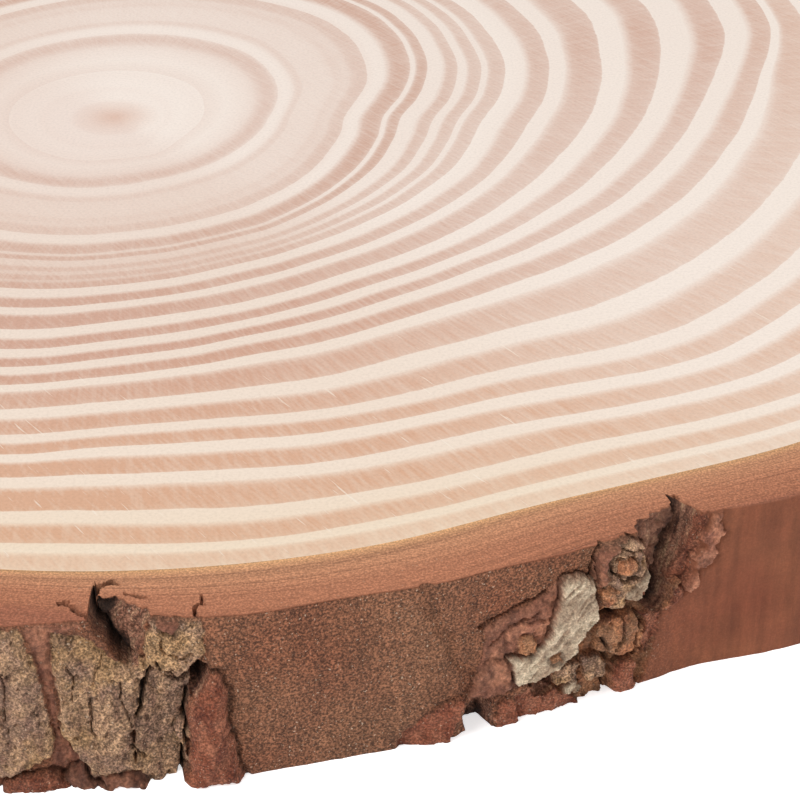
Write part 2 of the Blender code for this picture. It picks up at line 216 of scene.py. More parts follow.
# How much grit shows on each finish, and on the khaki plates and the sawn faces
GRITTY = {ORANGE: 0.6, GREY: 0.35, RED: 0.7, PURPLE: 0.2}
KHAKI_GRIT = 0.38
SAWN_GRIT = 0.3
# How fast the sawn bark darkens outwards, by angle
DARKENING = ((-96, 1.7), (-88, 1.5), (-80, 1.0), (-66, 0.9), (-55, 1.1), (-40, 1.0), (90, 1.2), (180, 1.0))
# How sandy the wall's skin is, by angle
SANDY = ((-95, 0.6), (-78, 1.0), (-60, 1.0), (-54, 0.1), (-40, 0.0), (-20, 0.6), (10, 0.1), (40, 0.9),
         (75, 0.3), (110, 0.0), (140, 0.8), (175, 0.2), (215, 0.9), (240, 0.3))

# Plates of the front's broken bark: finish, how pale, rise, width of its rounded edge, slope along and
# up, outline as angles and heights
FRONT_PLATES = (
    (PURPLE, 0, -0.3, 0.4, 0, 0, (
        (-87.5, 20.6), (-86, 20.6), (-86.3, 15.1), (-86.2, 11.2), (-86.2, 7.2), (-85.9, 5.6), (-85, 1.4),
        (-84.6, -0.6), (-87.3, -0.6), (-86.6, 4.6), (-86.8, 11), (-87.2, 16))),
    (KHAKI, -0.05, 0.45, 1.2, 0, -0.02, (
        (-94, 19.6), (-87.6, 19.6), (-87.2, 16.7), (-86.9, 14), (-86.7, 10), (-86.5, 6.8),
        (-86.6, 4.4), (-87.4, 3), (-88, 2.2), (-88.8, 1.4), (-94, 0.9))),
    (PURPLE, -1.2, 1.1, 0.6, 0, -0.1, (
        (-86.4, 1.2), (-85.3, 2.4), (-83.4, 2.6), (-82.1, 1.6), (-81.9, -0.6), (-86.6, -0.6))),
    # The sunken khaki beside the lip; its darker tint is painted shade in the recess
    (KHAKI, -0.3, -0.3, 0.8, -0.48, 0, (
        (-82.6, 13.6), (-80.2, 13.4), (-79.7, 12.2), (-80, 9.5), (-80.2, 7.1), (-80.3, 3),
        (-80.1, -0.6), (-82.2, -0.6), (-82.8, 3), (-82.7, 8))),
    (KHAKI, -0.1, 0.7, 1.3, 0.02, -0.1, (
        (-86.2, 18.7), (-84.8, 18), (-84.1, 17), (-83.6, 15.2), (-82.8, 14.2), (-82, 14.9),
        (-81.8, 13), (-82.3, 11.1), (-82.5, 8.4), (-82.7, 5.6), (-82.6, 1.9), (-84.3, 0.5),
        (-85, 1.9), (-85.7, 4.3), (-86.2, 6.7), (-86.2, 11.2), (-86.3, 15.1))),
    (KHAKI, 0.35, 0.75, 0.5, 0, 0.05, (
        (-82.6, 14.4), (-82.1, 15.3), (-81.5, 14.7), (-81.6, 13.2), (-82.2, 12.5), (-82.6, 13.2))),
    (KHAKI, -0.2, 0.1, 0.5, 0, 0, (
        (-82, 14.8), (-81.3, 13), (-80.4, 12.4), (-79.8, 13.3), (-79.9, 11.6), (-80.7, 10.8),
        (-81.6, 11.1), (-82.1, 12.2))),
    (KHAKI, 0.1, 0.55, 0.9, -0.03, 0, (
        (-81.7, 20), (-80.2, 20.6), (-79.2, 19.9), (-79, 17.6), (-79.1, 15.7), (-79.6, 14.9),
        (-79.8, 13.5), (-80.4, 12.6), (-81.3, 13.2), (-81.9, 14.8), (-82, 16.6), (-81.7, 18.4))),
    (PURPLE, -0.3, 0.75, 0.3, 0, 0, (
        (-81.2, 19.8), (-80.5, 20.2), (-80, 19.3), (-80.5, 18.1), (-81, 18.2), (-81.3, 19))),
    (PURPLE, -0.2, 0.05, 0.3, 0, 0, (
        (-86.9, 20.7), (-84.5, 20.7), (-84.7, 18.9), (-85.4, 18.4), (-86.2, 18.9), (-86.8, 19.1))),
    (RED, 0.15, 1.45, 1.1, -0.12, -0.01, (
        (-79, 13.7), (-79.5, 11.9), (-80, 9.9), (-80.2, 7.5), (-80.1, 5.5), (-80.3, 2.6), (-80.2, 1.3),
        (-80.6, 0.5), (-80.5, -0.6), (-77.5, -0.6), (-77.8, 2.5), (-78, 5.5), (-78.2, 8),
        (-78.1, 11.2), (-78.4, 13.1))),
    # Painted highlight: a pale strip along the lit left edge of the red lip
    (KHAKI, 0.5, 0.4, 0.3, 0, 0, (
        (-80.6, 7.2), (-80.15, 7.4), (-80.1, 5.5), (-80.2, 2.6), (-80.2, 1.6), (-80.6, 4.2))),
    (RED, -0.6, 0.9, 0.5, 0, 0, (
        (-89, 1.1), (-87.6, 2.1), (-86.3, 1.4), (-85.7, -0.6), (-89.4, -0.6))),
    (PURPLE, -1.1, 1.6, 0.5, 0, 0, (
        (-84.5, 1.5), (-83, 1.9), (-82.1, 0.5), (-82.2, -0.6), (-84.7, -0.6))),
    (PURPLE, 0, 0.3, 0.6, 0, 0, (
        (-65.6, 13), (-64.6, 14), (-63.2, 15.2), (-62.5, 15.6), (-61.6, 17.3), (-61, 15),
        (-61.4, 8), (-62.5, 4.5), (-64.5, 4.5), (-65.8, 5.5), (-65.9, 8), (-65.5, 10.3))),
    (ORANGE, -0.4, -0.9, 0.8, 0, 0, (
        (-61.4, 10), (-59.6, 11.5), (-56.4, 11.6), (-55.7, 9), (-55.9, 5), (-56.5, 0.5), (-56.8, -0.6),
        (-62, -0.6), (-63.2, 3.5), (-62, 6))),
    (ORANGE, 0.2, 0.35, 0.9, 0, 0.03, (
        (-59.5, 8.8), (-58.8, 10.3), (-57.2, 9.6), (-56.5, 7.5), (-56.7, 4.4), (-57.8, 4.2), (-59.3, 5.9))),
    (RED, -0.2, -0.1, 0.5, 0, 0, (
        (-57.2, 9.5), (-55.8, 9.2), (-55.7, 5.8), (-56.7, 4.2), (-56.6, 7.5))),
    (KHAKI, -0.1, -0.1, 0.6, 0, 0, (
        (-61.7, 5.4), (-60.9, 5.8), (-60.2, 5.2), (-60.3, 3.2), (-61.2, 2.6), (-61.8, 3.8))),
    (KHAKI, 0.2, 0.15, 0.6, 0, 0, (
        (-60.1, 5.6), (-59.2, 5.4), (-58.6, 4), (-58.9, 2.3), (-60, 2.8))),
    (GREY, -0.2, 0.05, 0.4, 0, 0, (
        (-61.2, 2.9), (-60.4, 3.1), (-59.9, 1.8), (-60.4, 0.9), (-61.3, 1.4))),
    (RED, 0.3, 0.55, 0.7, 0.05, 0, (
        (-58.5, 4), (-57.1, 3.4), (-56.9, 0), (-57.1, -0.6), (-58.2, -0.6), (-58.4, 1.8))),
    (RED, 0, -0.3, 0.5, 0, 0, (
        (-63.9, 3.2), (-62.7, 4.6), (-60.4, 1.2), (-60, -0.6), (-63.9, -0.6))),
    (RED, 0.1, 0.35, 0.9, 0, 0, (
        (-64.9, 2.6), (-64.1, 3.8), (-63.6, 2.6), (-63.5, -0.6), (-64.7, -0.6), (-64.9, 1.2))),
    (PURPLE, -0.2, 0.55, 0.4, 0.05, 0.04, (
        (-65.8, 7.8), (-65.1, 8.9), (-63.9, 8.6), (-63.9, 5), (-64.7, 4.6), (-65.9, 3.8), (-66.3, 4.5))),
    (RED, 0.1, 0.3, 0.4, 0.2, 0, (
        (-69.8, 1.7), (-68.8, 3.4), (-67.5, 5.2), (-66.6, 5.2), (-66.6, 3.6), (-67, 2), (-67.1, 0.6),
        (-67.5, -0.6), (-70, -0.6))),
    (PURPLE, 0.7, 0.55, 0.3, 0, 0, (
        (-64.4, 12.6), (-63.4, 13.1), (-62.1, 12.6), (-62.2, 9.8), (-63.2, 9.2), (-64.3, 9.4))),
    (GREY, 0.1, 1.05, 0.35, 0.02, 0.02, (
        (-61.6, 17.2), (-60.8, 17.1), (-59.9, 16.2), (-59.7, 12.4), (-59.6, 10.9), (-60.3, 9.6), (-60.7, 7.8),
        (-61.4, 6.1), (-62.5, 5.3), (-63.9, 5), (-64.1, 6.9), (-64.4, 9), (-63.3, 8.5), (-62.5, 9.9),
        (-62.2, 11.5), (-62.1, 13.6), (-61.8, 15.2))),
    (ORANGE, 0, 0.8, 0.3, 0, 0, (
        (-63.9, 11.3), (-63.1, 11.4), (-62.8, 10.1), (-63, 8.7), (-63.9, 9))),
    (ORANGE, 0.1, 1, 0.3, 0, 0, (
        (-62.4, 8.2), (-61.6, 8), (-61.5, 7), (-62.2, 6.9))),
    (KHAKI, 0.8, 1.2, 2.2, 0, 0, (
        (-59.9, 18.6), (-59.4, 20.1), (-58.6, 20.5), (-57.5, 19.2), (-56.7, 17), (-56.4, 14.9), (-56.7, 12.9),
        (-57.3, 11.6), (-58.3, 10.9), (-59.2, 11.6), (-59.6, 13.6), (-59.9, 15.9))),
    (PURPLE, 0.1, 1.25, 0.8, 0, 0, (
        (-59.9, 18.6), (-59.4, 20.1), (-58.6, 20.5), (-57.9, 19.7), (-58.5, 19), (-59.1, 17.7), (-59.1, 15.6),
        (-59.4, 13.8), (-59.9, 15.9))),
    (GREY, -0.1, 1.3, 0.5, 0, -0.02, (
        (-57.9, 13.2), (-57.2, 14.6), (-56.4, 15.4), (-56.5, 13.6), (-56.9, 12.4), (-57.6, 11.5),
        (-58.1, 12.2))),
    (ORANGE, 0.9, 1.25, 0.4, 0, 0, (
        (-59.6, 14.2), (-59, 14.9), (-58.5, 13.8), (-58.7, 12.2), (-59.3, 12))),
    (ORANGE, 1.4, 1.3, 0.4, 0, 0, (
        (-58.8, 17.9), (-57.9, 17.8), (-57.5, 16.3), (-58.1, 15.3), (-58.8, 16.2))),
    (RED, -0.4, -0.9, 0.3, 0.3, 0, (
        (-54.6, 20.6), (-53.4, 20.6), (-53.6, 17), (-53.9, 14), (-54.2, 11.5), (-55.2, 9.6), (-55.4, 12),
        (-54.9, 14.5), (-54.7, 17.5))),
    (RED, 0, 0.1, 0.3, 0.1, 0, (
        (-55.2, 11.6), (-54.7, 11.3), (-54.3, 10.4), (-54.8, 9.2), (-55.5, 8.2), (-55.6, 9.6))),
    (PURPLE, 1.1, 0.5, 0.25, -0.14, 0, (
        (-53.5, 20.6), (-52.7, 20.6), (-52.9, 18.6), (-52.6, 17.1), (-53, 15.6), (-52.9, 14.2), (-53.4, 12.6),
        (-53.6, 12.8), (-53.8, 11.2), (-54.4, 10.1), (-54.4, 11.2), (-53.9, 12.7), (-54, 14.4), (-53.6, 15.4),
        (-53.8, 17), (-53.4, 18.4))),
    (ORANGE, 0, 0.1, 0.3, 0, 0, (
        (-55.7, 11), (-54.7, 11.6), (-54.9, 10), (-55.6, 8.4), (-55.9, 9.2))),
)
# Notches that open the wall from the top: for each height, the left edge, deepest line and right edge
# as angles, and the depth
FRONT_NOTCHES = (
    ((21, -84.5, -84.25, -81.3, 3.9), (18, -84.1, -83.8, -81.8, 3.6), (16.2, -83.5, -83.15, -82, 3.4),
     (14.9, -83.1, -82.75, -82.1, 3.2), (14.3, -82.9, -82.6, -82.15, 0)),
    ((21, -57.6, -54.2, -53.8, 3.2), (18, -57.3, -54.45, -54, 3.2), (15, -56.9, -54.75, -54.35, 3.2),
     (13, -56.7, -55.2, -54.8, 3.5), (11, -56.6, -55.5, -55.1, 3.5), (9.6, -56.5, -55.8, -55.3, 2.8),
     (8.5, -56.3, -56, -55.6, 0)),
    ((14.5, -56.3, -56, -55.8, 0), (13.7, -56.6, -56.1, -55.65, 3.2), (11, -56.55, -56.1, -55.6, 3.2),
     (9.4, -56.3, -56.1, -55.8, 0)),
    ((14.6, -79.5, -79.25, -78.95, 0), (13.8, -79.8, -79.4, -78.95, 3.2), (12, -80, -79.6, -79.15, 2.8),
     (10.6, -80.1, -79.8, -79.6, 0)),
    ((5.4, -62.6, -62, -61.5, 0), (4.4, -63, -62, -61.3, 2.6), (2.6, -62.8, -62.2, -61.5, 0.4)),
    ((4.4, -66.2, -65.6, -64.9, 0), (3.6, -66.5, -65.6, -64.8, 2.2), (-1, -66.4, -65.7, -64.9, 2.6)),
)
# Cracks: width, depth, line as angles and heights
FRONT_CRACKS = (
    (0.6, 2.6, ((-84.35, 21), (-84.05, 18.6), (-83.5, 16.6), (-83.05, 15.2), (-82.6, 14.6))),
    (0.95, 1, ((-54.2, 21), (-54.45, 18), (-54.75, 15), (-55.2, 13), (-55.5, 10.6))),
    (0.25, 0.55, ((-84.6, 10.7), (-84.7, 8.7), (-84.55, 6.4))),
    (0.22, 0.45, ((-83.1, 12.5), (-83.15, 10.7), (-83, 9.2), (-82.9, 7.2))),
    (0.2, 0.3, ((-83.8, 15.9), (-84.1, 14.1), (-84.5, 12.3))),
    (0.35, 0.9, ((-83, 4.9), (-82.7, 4), (-82.3, 3.4))),
    (0.5, 1.3, ((-81.7, 14), (-82, 12.3), (-82.3, 10.5), (-82.5, 8.2))),
    (0.4, 1, ((-80, 10.4), (-80.2, 8.5), (-80.25, 5.5), (-80.5, 3), (-80.6, -0.5))),
    (0.35, 0.7, ((-81.5, 14.9), (-81.1, 13.7), (-80.4, 12.8), (-79.8, 13.3), (-79.4, 14.6))),
    (0.25, 0.5, ((-81.2, 17.3), (-80.9, 15.8), (-80.3, 15), (-79.7, 15.7))),
    (0.35, 0.8, ((-86.2, 6.8), (-85.7, 4.4), (-85.2, 2.9), (-84.9, 0.8), (-84.3, 0.2))),
    (0.25, 0.5, ((-85.6, 14.6), (-85.3, 12.8), (-85.5, 10.9))),
    (0.25, 0.4, ((-88.9, 15), (-88.5, 12), (-88.8, 9))),
    (1.8, 0.45, ((-68.4, 19.5), (-67.5, 14), (-66.7, 9), (-66.2, 4.5), (-66, -0.5))),
    (0.35, 0.6, ((-65.7, 12.9), (-64.7, 14.1), (-63.3, 15.3), (-62.3, 16))),
    (0.5, 1.2, ((-57, 11), (-58.6, 10.2), (-59.8, 9.4), (-60.6, 8.6), (-61.4, 5.8), (-63, 4.6))),
    (0.3, 0.7, ((-59.9, 18.9), (-59.75, 15.9), (-59.5, 13), (-59.6, 11))),
    (0.3, 0.8, ((-59.2, 18.6), (-58.4, 18.9), (-57.3, 17.8), (-56.9, 16), (-57.3, 14.6), (-58.2, 14.9),
                (-59, 16.5), (-59.2, 18))),
    (0.25, 0.5, ((-58.8, 17.9), (-58, 18), (-57.5, 16.6), (-58, 15.4))),
    (0.4, 0.9, ((-57, 9.2), (-57.1, 6), (-56.9, 3.4))),
    (0.4, 0.9, ((-59.1, 7.8), (-58.7, 5.6), (-58.6, 2), (-58.4, -0.5))),
    (0.3, 0.6, ((-58, 9.6), (-57.9, 7.4), (-58.2, 5.4))),
    (0.25, 0.4, ((-65.2, 11), (-64, 12.9), (-62.8, 14))),
)
# Cracks across the sawn top of the bark: width, depth, line as angles and mm in from the bark's outside
TOP_CRACKS = (
    (0.36, 1.2, ((-84.3, 0.3), (-84.9, 1.3), (-85.2, 2.4), (-85.5, 3), (-85.8, 2.9))),
    (0.45, 1.6, ((-84.2, 3.4), (-84, 4.6), (-83.7, 5.2), (-83, 5.4))),
    (0.28, 0.7, ((-82.7, 3.6), (-82, 3), (-81.6, 3.1))),
    (0.28, 1.4, ((-79.3, -0.2), (-79.4, 1.6), (-79, 2.2), (-79, 3.4))),
    (0.3, 1.2, ((-54.3, 2.6), (-54.1, 3.6), (-53.9, 4.1))),
)

# Stage: the camera from the pith in mm, and each lamp's name, place, size and share of the key light
CAMERA_LENS = 90.0
CAMERA_SENSOR = 36.0
CAMERA_PITCH = 32.0
CAMERA_ABOVE_TOP = 116.26
CAMERA_TO_PITH = (-40.42, 261.79)
FLOOR_SIZE = 6.0
FLOOR_GLOW = 0.62
WHITE = (1.0, 1.0, 1.0, 1.0)
LAMPS = (("key", (-0.9, -0.7, 1.7), 0.9, 1.0), ("fill", (1.1, 0.4, 1.5), 1.2, 0.3))


def select_only(piece):
    """Leaves one object selected and active, in object mode."""
    if bpy.context.mode != "OBJECT":
        bpy.ops.object.mode_set(mode="OBJECT")
    bpy.ops.object.select_all(action="DESELECT")
    piece.select_set(True)
    bpy.context.view_layer.objects.active = piece


def smooth_step(low, high, value):
    """0 below low, 1 above high and a soft curve between them."""
    t = np.clip((value - low) / (high - low), 0.0, 1.0)
    return t * t * (3 - 2 * t)


def cubic(t, start, start_slope, end, end_slope):
    """The smooth curve from one value and slope to the next, at t from 0 to 1."""
    return ((2 * t ** 3 - 3 * t ** 2 + 1) * start + (t ** 3 - 2 * t ** 2 + t) * start_slope
            + (3 * t ** 2 - 2 * t ** 3) * end + (t ** 3 - t ** 2) * end_slope)


def round_curve(knots, angles):
    """The smooth closed curve through (angle, value) knots, read at each angle."""
    known, values = np.array(knots, float).T
    turned = (np.asarray(angles, float) - known[0]) % 360.0 + known[0]
    index = np.searchsorted(known, turned, side="right") - 1

    def knot(step):
        turns, number = np.divmod(index + step, len(known))
        return known[number] + 360.0 * turns, values[number]

    (a0, v0), (a1, v1), (a2, v2), (a3, v3) = (knot(step) for step in (-1, 0, 1, 2))
    span = a2 - a1
    return cubic((turned - a1) / span, v1, (v2 - v0) / (a2 - a0) * span, v2, (v3 - v1) / (a3 - a1) * span)


def turn_from(angle, angles):
    """Signed degrees from one angle to others, the short way round."""
    return (np.asarray(angles) - angle + 180.0) % 360.0 - 180.0


def arc_length(angles, from_angle):
    """Signed distance along the rim, mm, the short way round."""
    return np.radians(turn_from(from_angle, angles)) * RIM_RADIUS


def noise_field(points, scale, octaves=1):
    """Noise from -1 to 1 at an array of points in mm; scale is the size of its lumps."""
    flat = points.reshape(-1, 3) / scale
    if octaves == 1:
        values = [noise.noise(point) for point in flat]
    else:
        values = [noise.fractal(point, 1.0, 2.0, octaves) for point in flat]
    return np.array(values).reshape(points.shape[:-1])


def rim_points(angles, radii, heights):
    """Points in mm round the pith, with the pith at their origin."""
    turn = np.radians(angles)
    return np.stack(np.broadcast_arrays(radii * np.cos(turn), radii * np.sin(turn), heights), axis=-1)


def wrapped_grid(name, points, attributes, smooth_angle):
    """A primitive grid bent to the points, mm round the pith, welded where its edges meet and closed."""
    columns, rows = points.shape[0] - 1, points.shape[1] - 1
    bpy.ops.object.select_all(action="DESELECT")
    bpy.ops.mesh.primitive_grid_add(x_subdivisions=columns, y_subdivisions=rows, size=2.0)
    piece = bpy.context.active_object
    mesh = piece.data
    piece.name = mesh.name = name
    flat = np.empty(len(mesh.vertices) * 3)
    mesh.vertices.foreach_get("co", flat)
    flat = flat.reshape(-1, 3)
    column = np.rint((flat[:, 0] + 1) / 2 * columns).astype(int)
    row = np.rint((flat[:, 1] + 1) / 2 * rows).astype(int)
    placed = (points[column, row] + (PITH_X, PITH_Y, 0.0)) * MM
    mesh.vertices.foreach_set("co", placed.ravel())
    for label, values in attributes.items():
        kind, key = ("FLOAT", "value") if values.ndim == 2 else ("FLOAT_VECTOR", "vector")
        attribute = mesh.attributes.new(label, kind, "POINT")
        attribute.data.foreach_set(key, values[column, row].astype(np.float32).ravel())
    select_only(piece)
    bpy.ops.object.mode_set(mode="EDIT")
    bpy.ops.mesh.select_all(action="SELECT")
    bpy.ops.mesh.remove_doubles(threshold=WELD)
    bpy.ops.mesh.fill_holes(sides=0)
    bpy.ops.mesh.normals_make_consistent(inside=False)
    bpy.ops.object.mode_set(mode="OBJECT")
    bpy.ops.object.shade_smooth_by_angle(angle=math.radians(smooth_angle))
    return piece


def ring_radii(rings, angles):
    """Radius in mm of each ring, named by its radius at the front, at each angle: rows by columns."""
    names = np.array([0.0, *RING_SHAPES, WOOD_FRONT])
    shapes = [tuple(zip(RING_ANGLES, radii)) for radii in RING_SHAPES.values()] + [WOOD_RADIUS]
    curves = np.array([np.zeros(len(angles))] + [round_curve(shape, angles) for shape in shapes])
    slopes = np.gradient(curves, names, axis=0)
    index = np.clip(np.searchsorted(names, rings, side="right") - 1, 0, len(names) - 2)
    gap = (names[index + 1] - names[index])[:, None]
    t = (rings - names[index])[:, None] / gap
    return cubic(t, curves[index], gap * slopes[index], curves[index + 1], gap * slopes[index + 1])


def year_phase(rings):
    """Years counted from the pith: whole numbers where pale wood starts, a half where brown starts."""
    places = [mark for year in YEARS for mark in year[:2]] + [WOOD_FRONT]
    return np.interp(rings, places, np.arange(len(places)) / 2)


# Wood

def build_wood(settings):
    """Both sanded faces, with each ring's year and tones as attributes."""
    angles = np.linspace(-180.0, 180.0, WOOD_COLUMNS + 1)
    marks = sorted({mark for year in YEARS for mark in year[:3]})
    rings = np.sort(marks + [year[0] - YEAR_EDGE for year in YEARS[1:]])
    rings = np.sort(np.concatenate([rings, (rings[1:] + rings[:-1])[np.diff(rings) > WIDEST_GAP] / 2]))
    radii = ring_radii(rings, angles).T
    waver = noise_field(rim_points(angles[:, None], radii, 0.0), RING_WAVER_LENGTH)
    fade = smooth_step(*WAVER_START, rings) * (1 - smooth_step(*WAVER_END, rings))
    radii = radii + settings.ring_waver / MM * waver * fade[None, :]
    top = rim_points(angles[:, None], radii, THICKNESS)
    under = rim_points(angles[:, None], radii, 0.0)[:, ::-1]
    years = year_phase(rings)
    number = np.minimum(np.floor(years + 1e-9).astype(int), len(YEARS) - 1)
    pale, brown = np.array(YEARS)[number, 3:].T
    # How far round to the paler right side: the paling is partly the wood's own and partly painted light
    side = (smooth_step(*CROWDED_FADE, angles) * (1 - smooth_step(*CROWDED_END, angles)))[:, None]
    crowded = (rings > CROWDED_YEARS[0]) & (rings < CROWDED_YEARS[1])
    share = smooth_step(*INNER_RINGS, rings)[None, :]
    strength = 1 - share + share * round_curve(RING_STRENGTH, angles)[:, None]
    tone = np.broadcast_arrays(pale * (1 - CROWDED_PALER * side * crowded), brown, rings / WOOD_FRONT)
    attributes = {"year": np.broadcast_to(years, strength.shape), "tone": np.stack(tone, axis=-1),
                  "strength": strength, "paling_and_painted_light": np.broadcast_to(side, strength.shape)}
    attributes = {name: np.concatenate([values, values[:, ::-1]], axis=1)
                  for name, values in attributes.items()}
    return wrapped_grid("sanded_wood", np.concatenate([top, under], axis=1), attributes, 30.0)


# Bark: columns and outlines

def front_columns():
    """Angles of the columns in view, closest over the two broken stretches."""
    angles = []
    for start, end, step in FRONT_SPANS:
        count = round((end - start) / step)
        angles += [start + (end - start) * share / count for share in range(count)]
    return np.array(angles + [FRONT_SPANS[-1][1]])


def side_columns(start, end):
    """Angles of the columns of one side of the slice, closer over its broken stretches."""
    angles = []
    angle = start
    middles = np.array(CLUSTER_ANGLES)
    while angle < end - SMOOTH_STEP / 2:
        angles.append(angle)
        broken = np.abs(turn_from(middles, angle + 2 * BROKEN_STEP)).min() < CLUSTER_HALF_ANGLE
        angle += BROKEN_STEP if broken else SMOOTH_STEP
    return np.array(angles + [end])


def line_distance(line, angles, heights):
    """Distance in mm from each place on the wall to a line of (angle, height) points."""
    nearest = np.full(np.broadcast(angles, heights).shape, np.inf)
    for (angle_0, height_0), (angle_1, height_1) in zip(line, line[1:]):
        run_x, run_y = float(arc_length(angle_1, angle_0)), height_1 - height_0
        x, y = arc_length(angles, angle_0), heights - height_0
        share = np.clip((x * run_x + y * run_y) / (run_x ** 2 + run_y ** 2), 0.0, 1.0)
        nearest = np.minimum(nearest, np.hypot(x - share * run_x, y - share * run_y))
    return nearest


def outline_depth(outline, angles, heights):
    """Distance in mm inside an outline of (angle, height) corners; negative outside it."""
    closed = (*outline, outline[0])
    inside = np.zeros(np.broadcast(angles, heights).shape, bool)
    middle = outline[0][0]
    x = arc_length(angles, middle)
    for (angle_0, height_0), (angle_1, height_1) in zip(closed, closed[1:]):
        x_0, x_1 = float(arc_length(angle_0, middle)), float(arc_length(angle_1, middle))
        crosses = (height_0 > heights) != (height_1 > heights)
        rise = height_1 - height_0 if height_1 != height_0 else 1e-9
        inside ^= crosses & (x < x_0 + (heights - height_0) / rise * (x_1 - x_0))
    distance = line_distance(closed, angles, heights)
    return np.where(inside, distance, -distance)


def notch_depth(notch, angles, heights):
    """Depth of a notch: steep from its left edge, easy to its right edge, as its lines give."""
    levels, left, deep, right, depth = np.array(notch)[::-1].T
    inside = (heights > levels[0]) & (heights < levels[-1] + 0.01)
    left, deep, right, depth = (np.interp(heights, levels, values) for values in (left, deep, right, depth))
    turned = turn_from(deep, angles)
    share = 1 + np.where(turned < 0, turned / (deep - left), -turned / (right - deep))
    share = np.clip(share, 0.0, 1.0)
    if notch[0][0] < THICKNESS:
        return depth * inside * smooth_step(0.0, 0.45, share)
    return depth * inside * (0.28 * smooth_step(0.0, 0.08, share) + 0.72 * share)


def jagged_outline(middle, level, half_width, half_height, lean, paint):
    """Corners of a broken plate round a middle, as angles and heights."""
    corners = []
    start = paint.uniform(0.0, 2 * math.pi)
    turn = math.radians(lean)
    for number in range(JAGGED_CORNERS):
        way = start + 2 * math.pi * (number + paint.uniform(-0.35, 0.35)) / JAGGED_CORNERS
        reach = paint.uniform(0.72, 1.12) / (abs(math.cos(way)) ** 3 + abs(math.sin(way)) ** 3) ** (1 / 3)
        along, up = reach * half_width * math.cos(way), reach * half_height * math.sin(way)
        x = along * math.cos(turn) - up * math.sin(turn)
        y = up * math.cos(turn) + along * math.sin(turn)
        corners.append((middle + math.degrees(x / RIM_RADIUS), level + y))
    return corners


def grown_cluster(angle, dice):
    """Plates, grooves, notch and flakes of one broken stretch, drawn as the solid's are."""
    lean = dice.uniform(-18, 18)
    drift = math.degrees(math.tan(math.radians(lean)) * THICKNESS / RIM_RADIUS)
    low, high = angle - drift / 2, angle + drift / 2
    kink = angle + dice.uniform(-0.5, 0.5)
    grooves = [(dice.uniform(1.8, 2.8), dice.uniform(2.4, 3.8),
                ((high, THICKNESS + 1), (kink, dice.uniform(8, 13)), (low, dice.uniform(-1, 4))))]
    plates = []
    flakes = []
    for side in (-1, 1):
        middle = angle + side * dice.uniform(1.5, 2.1)
        for step in range(2):
            height = THICKNESS * (0.25 + 0.5 * step) + dice.uniform(-1.5, 1.5)
            plates.append((middle + dice.uniform(-0.5, 0.5), height, dice.uniform(2.2, 3.4),
                           dice.uniform(3.6, 5.4), dice.uniform(0.6, 1.5), lean))
            flakes.append((middle + dice.uniform(-0.7, 0.7), height + dice.uniform(-1.5, 1.5),
                           dice.uniform(1.5, 2.3), dice.uniform(1.6, 2.6), dice.uniform(-35, 35),
                           dice.uniform(0.8, 1.4)))
        edge = angle + side * dice.uniform(3.2, 3.8)
        grooves.append((dice.uniform(1.0, 1.5), dice.uniform(0.7, 1.4),
                        ((edge, dice.uniform(15, 21)), (edge - side * 0.4, dice.uniform(0, 7)))))
    tip = high + dice.uniform(-0.8, 0.8)
    reach = dice.uniform(3.0, 5.0)
    half = math.degrees(dice.uniform(1.4, 2.4) / 2 / RIM_RADIUS)
    foot = THICKNESS - dice.uniform(3.5, 6.0)
    tip = min(max(tip, high - 0.7 * half), high + 0.7 * half)
    notch = ((THICKNESS + 1, high - half, tip, high + half, reach),
             (foot, high - half / 2, high, high + half / 2, 0.0))
    return plates, grooves, notch, dice.sample(flakes, 3)


def grown_plates(angle, plates, flakes, paint):
    """Each patch, plate and flake of one broken stretch, as FRONT_PLATES has them, and its middle."""
    laid = []
    for _ in range(LOW_PATCHES):
        middle = angle + paint.choice((-1, 1)) * paint.uniform(1.0, 5.0)
        outline = jagged_outline(middle, paint.uniform(1.0, 18.0), paint.uniform(1.2, 3.4),
                                 paint.uniform(2.0, 6.5), paint.uniform(-30, 30), paint)
        laid.append(((paint.choice((KHAKI, RED, PURPLE, ORANGE)), paint.uniform(-0.4, 0.3),
                      paint.uniform(0.05, 0.35), 0.4, 0, 0, outline), (middle, THICKNESS / 2)))
    for middle, level, half_width, half_height, rise, lean in plates:
        outline = jagged_outline(middle, level, half_width, half_height, lean, paint)
        laid.append(((paint.choice((KHAKI, KHAKI, KHAKI, PURPLE, ORANGE, RED)), paint.uniform(-0.7, 0.3),
                      rise, 1.2, paint.uniform(-0.1, 0.1), paint.uniform(-0.05, 0.05), outline),
                     (middle, level)))
    for middle, level, half_width, half_height, tilt, rise in flakes:
        outline = jagged_outline(middle, level, half_width, half_height, tilt, paint)
        laid.append(((paint.choice((KHAKI, KHAKI, GREY, PURPLE, RED)), paint.uniform(-0.7, 0.2),
                      rise, 0.5, 0.05, 0.04, outline), (middle, level)))
    return laid


# Bark: wall

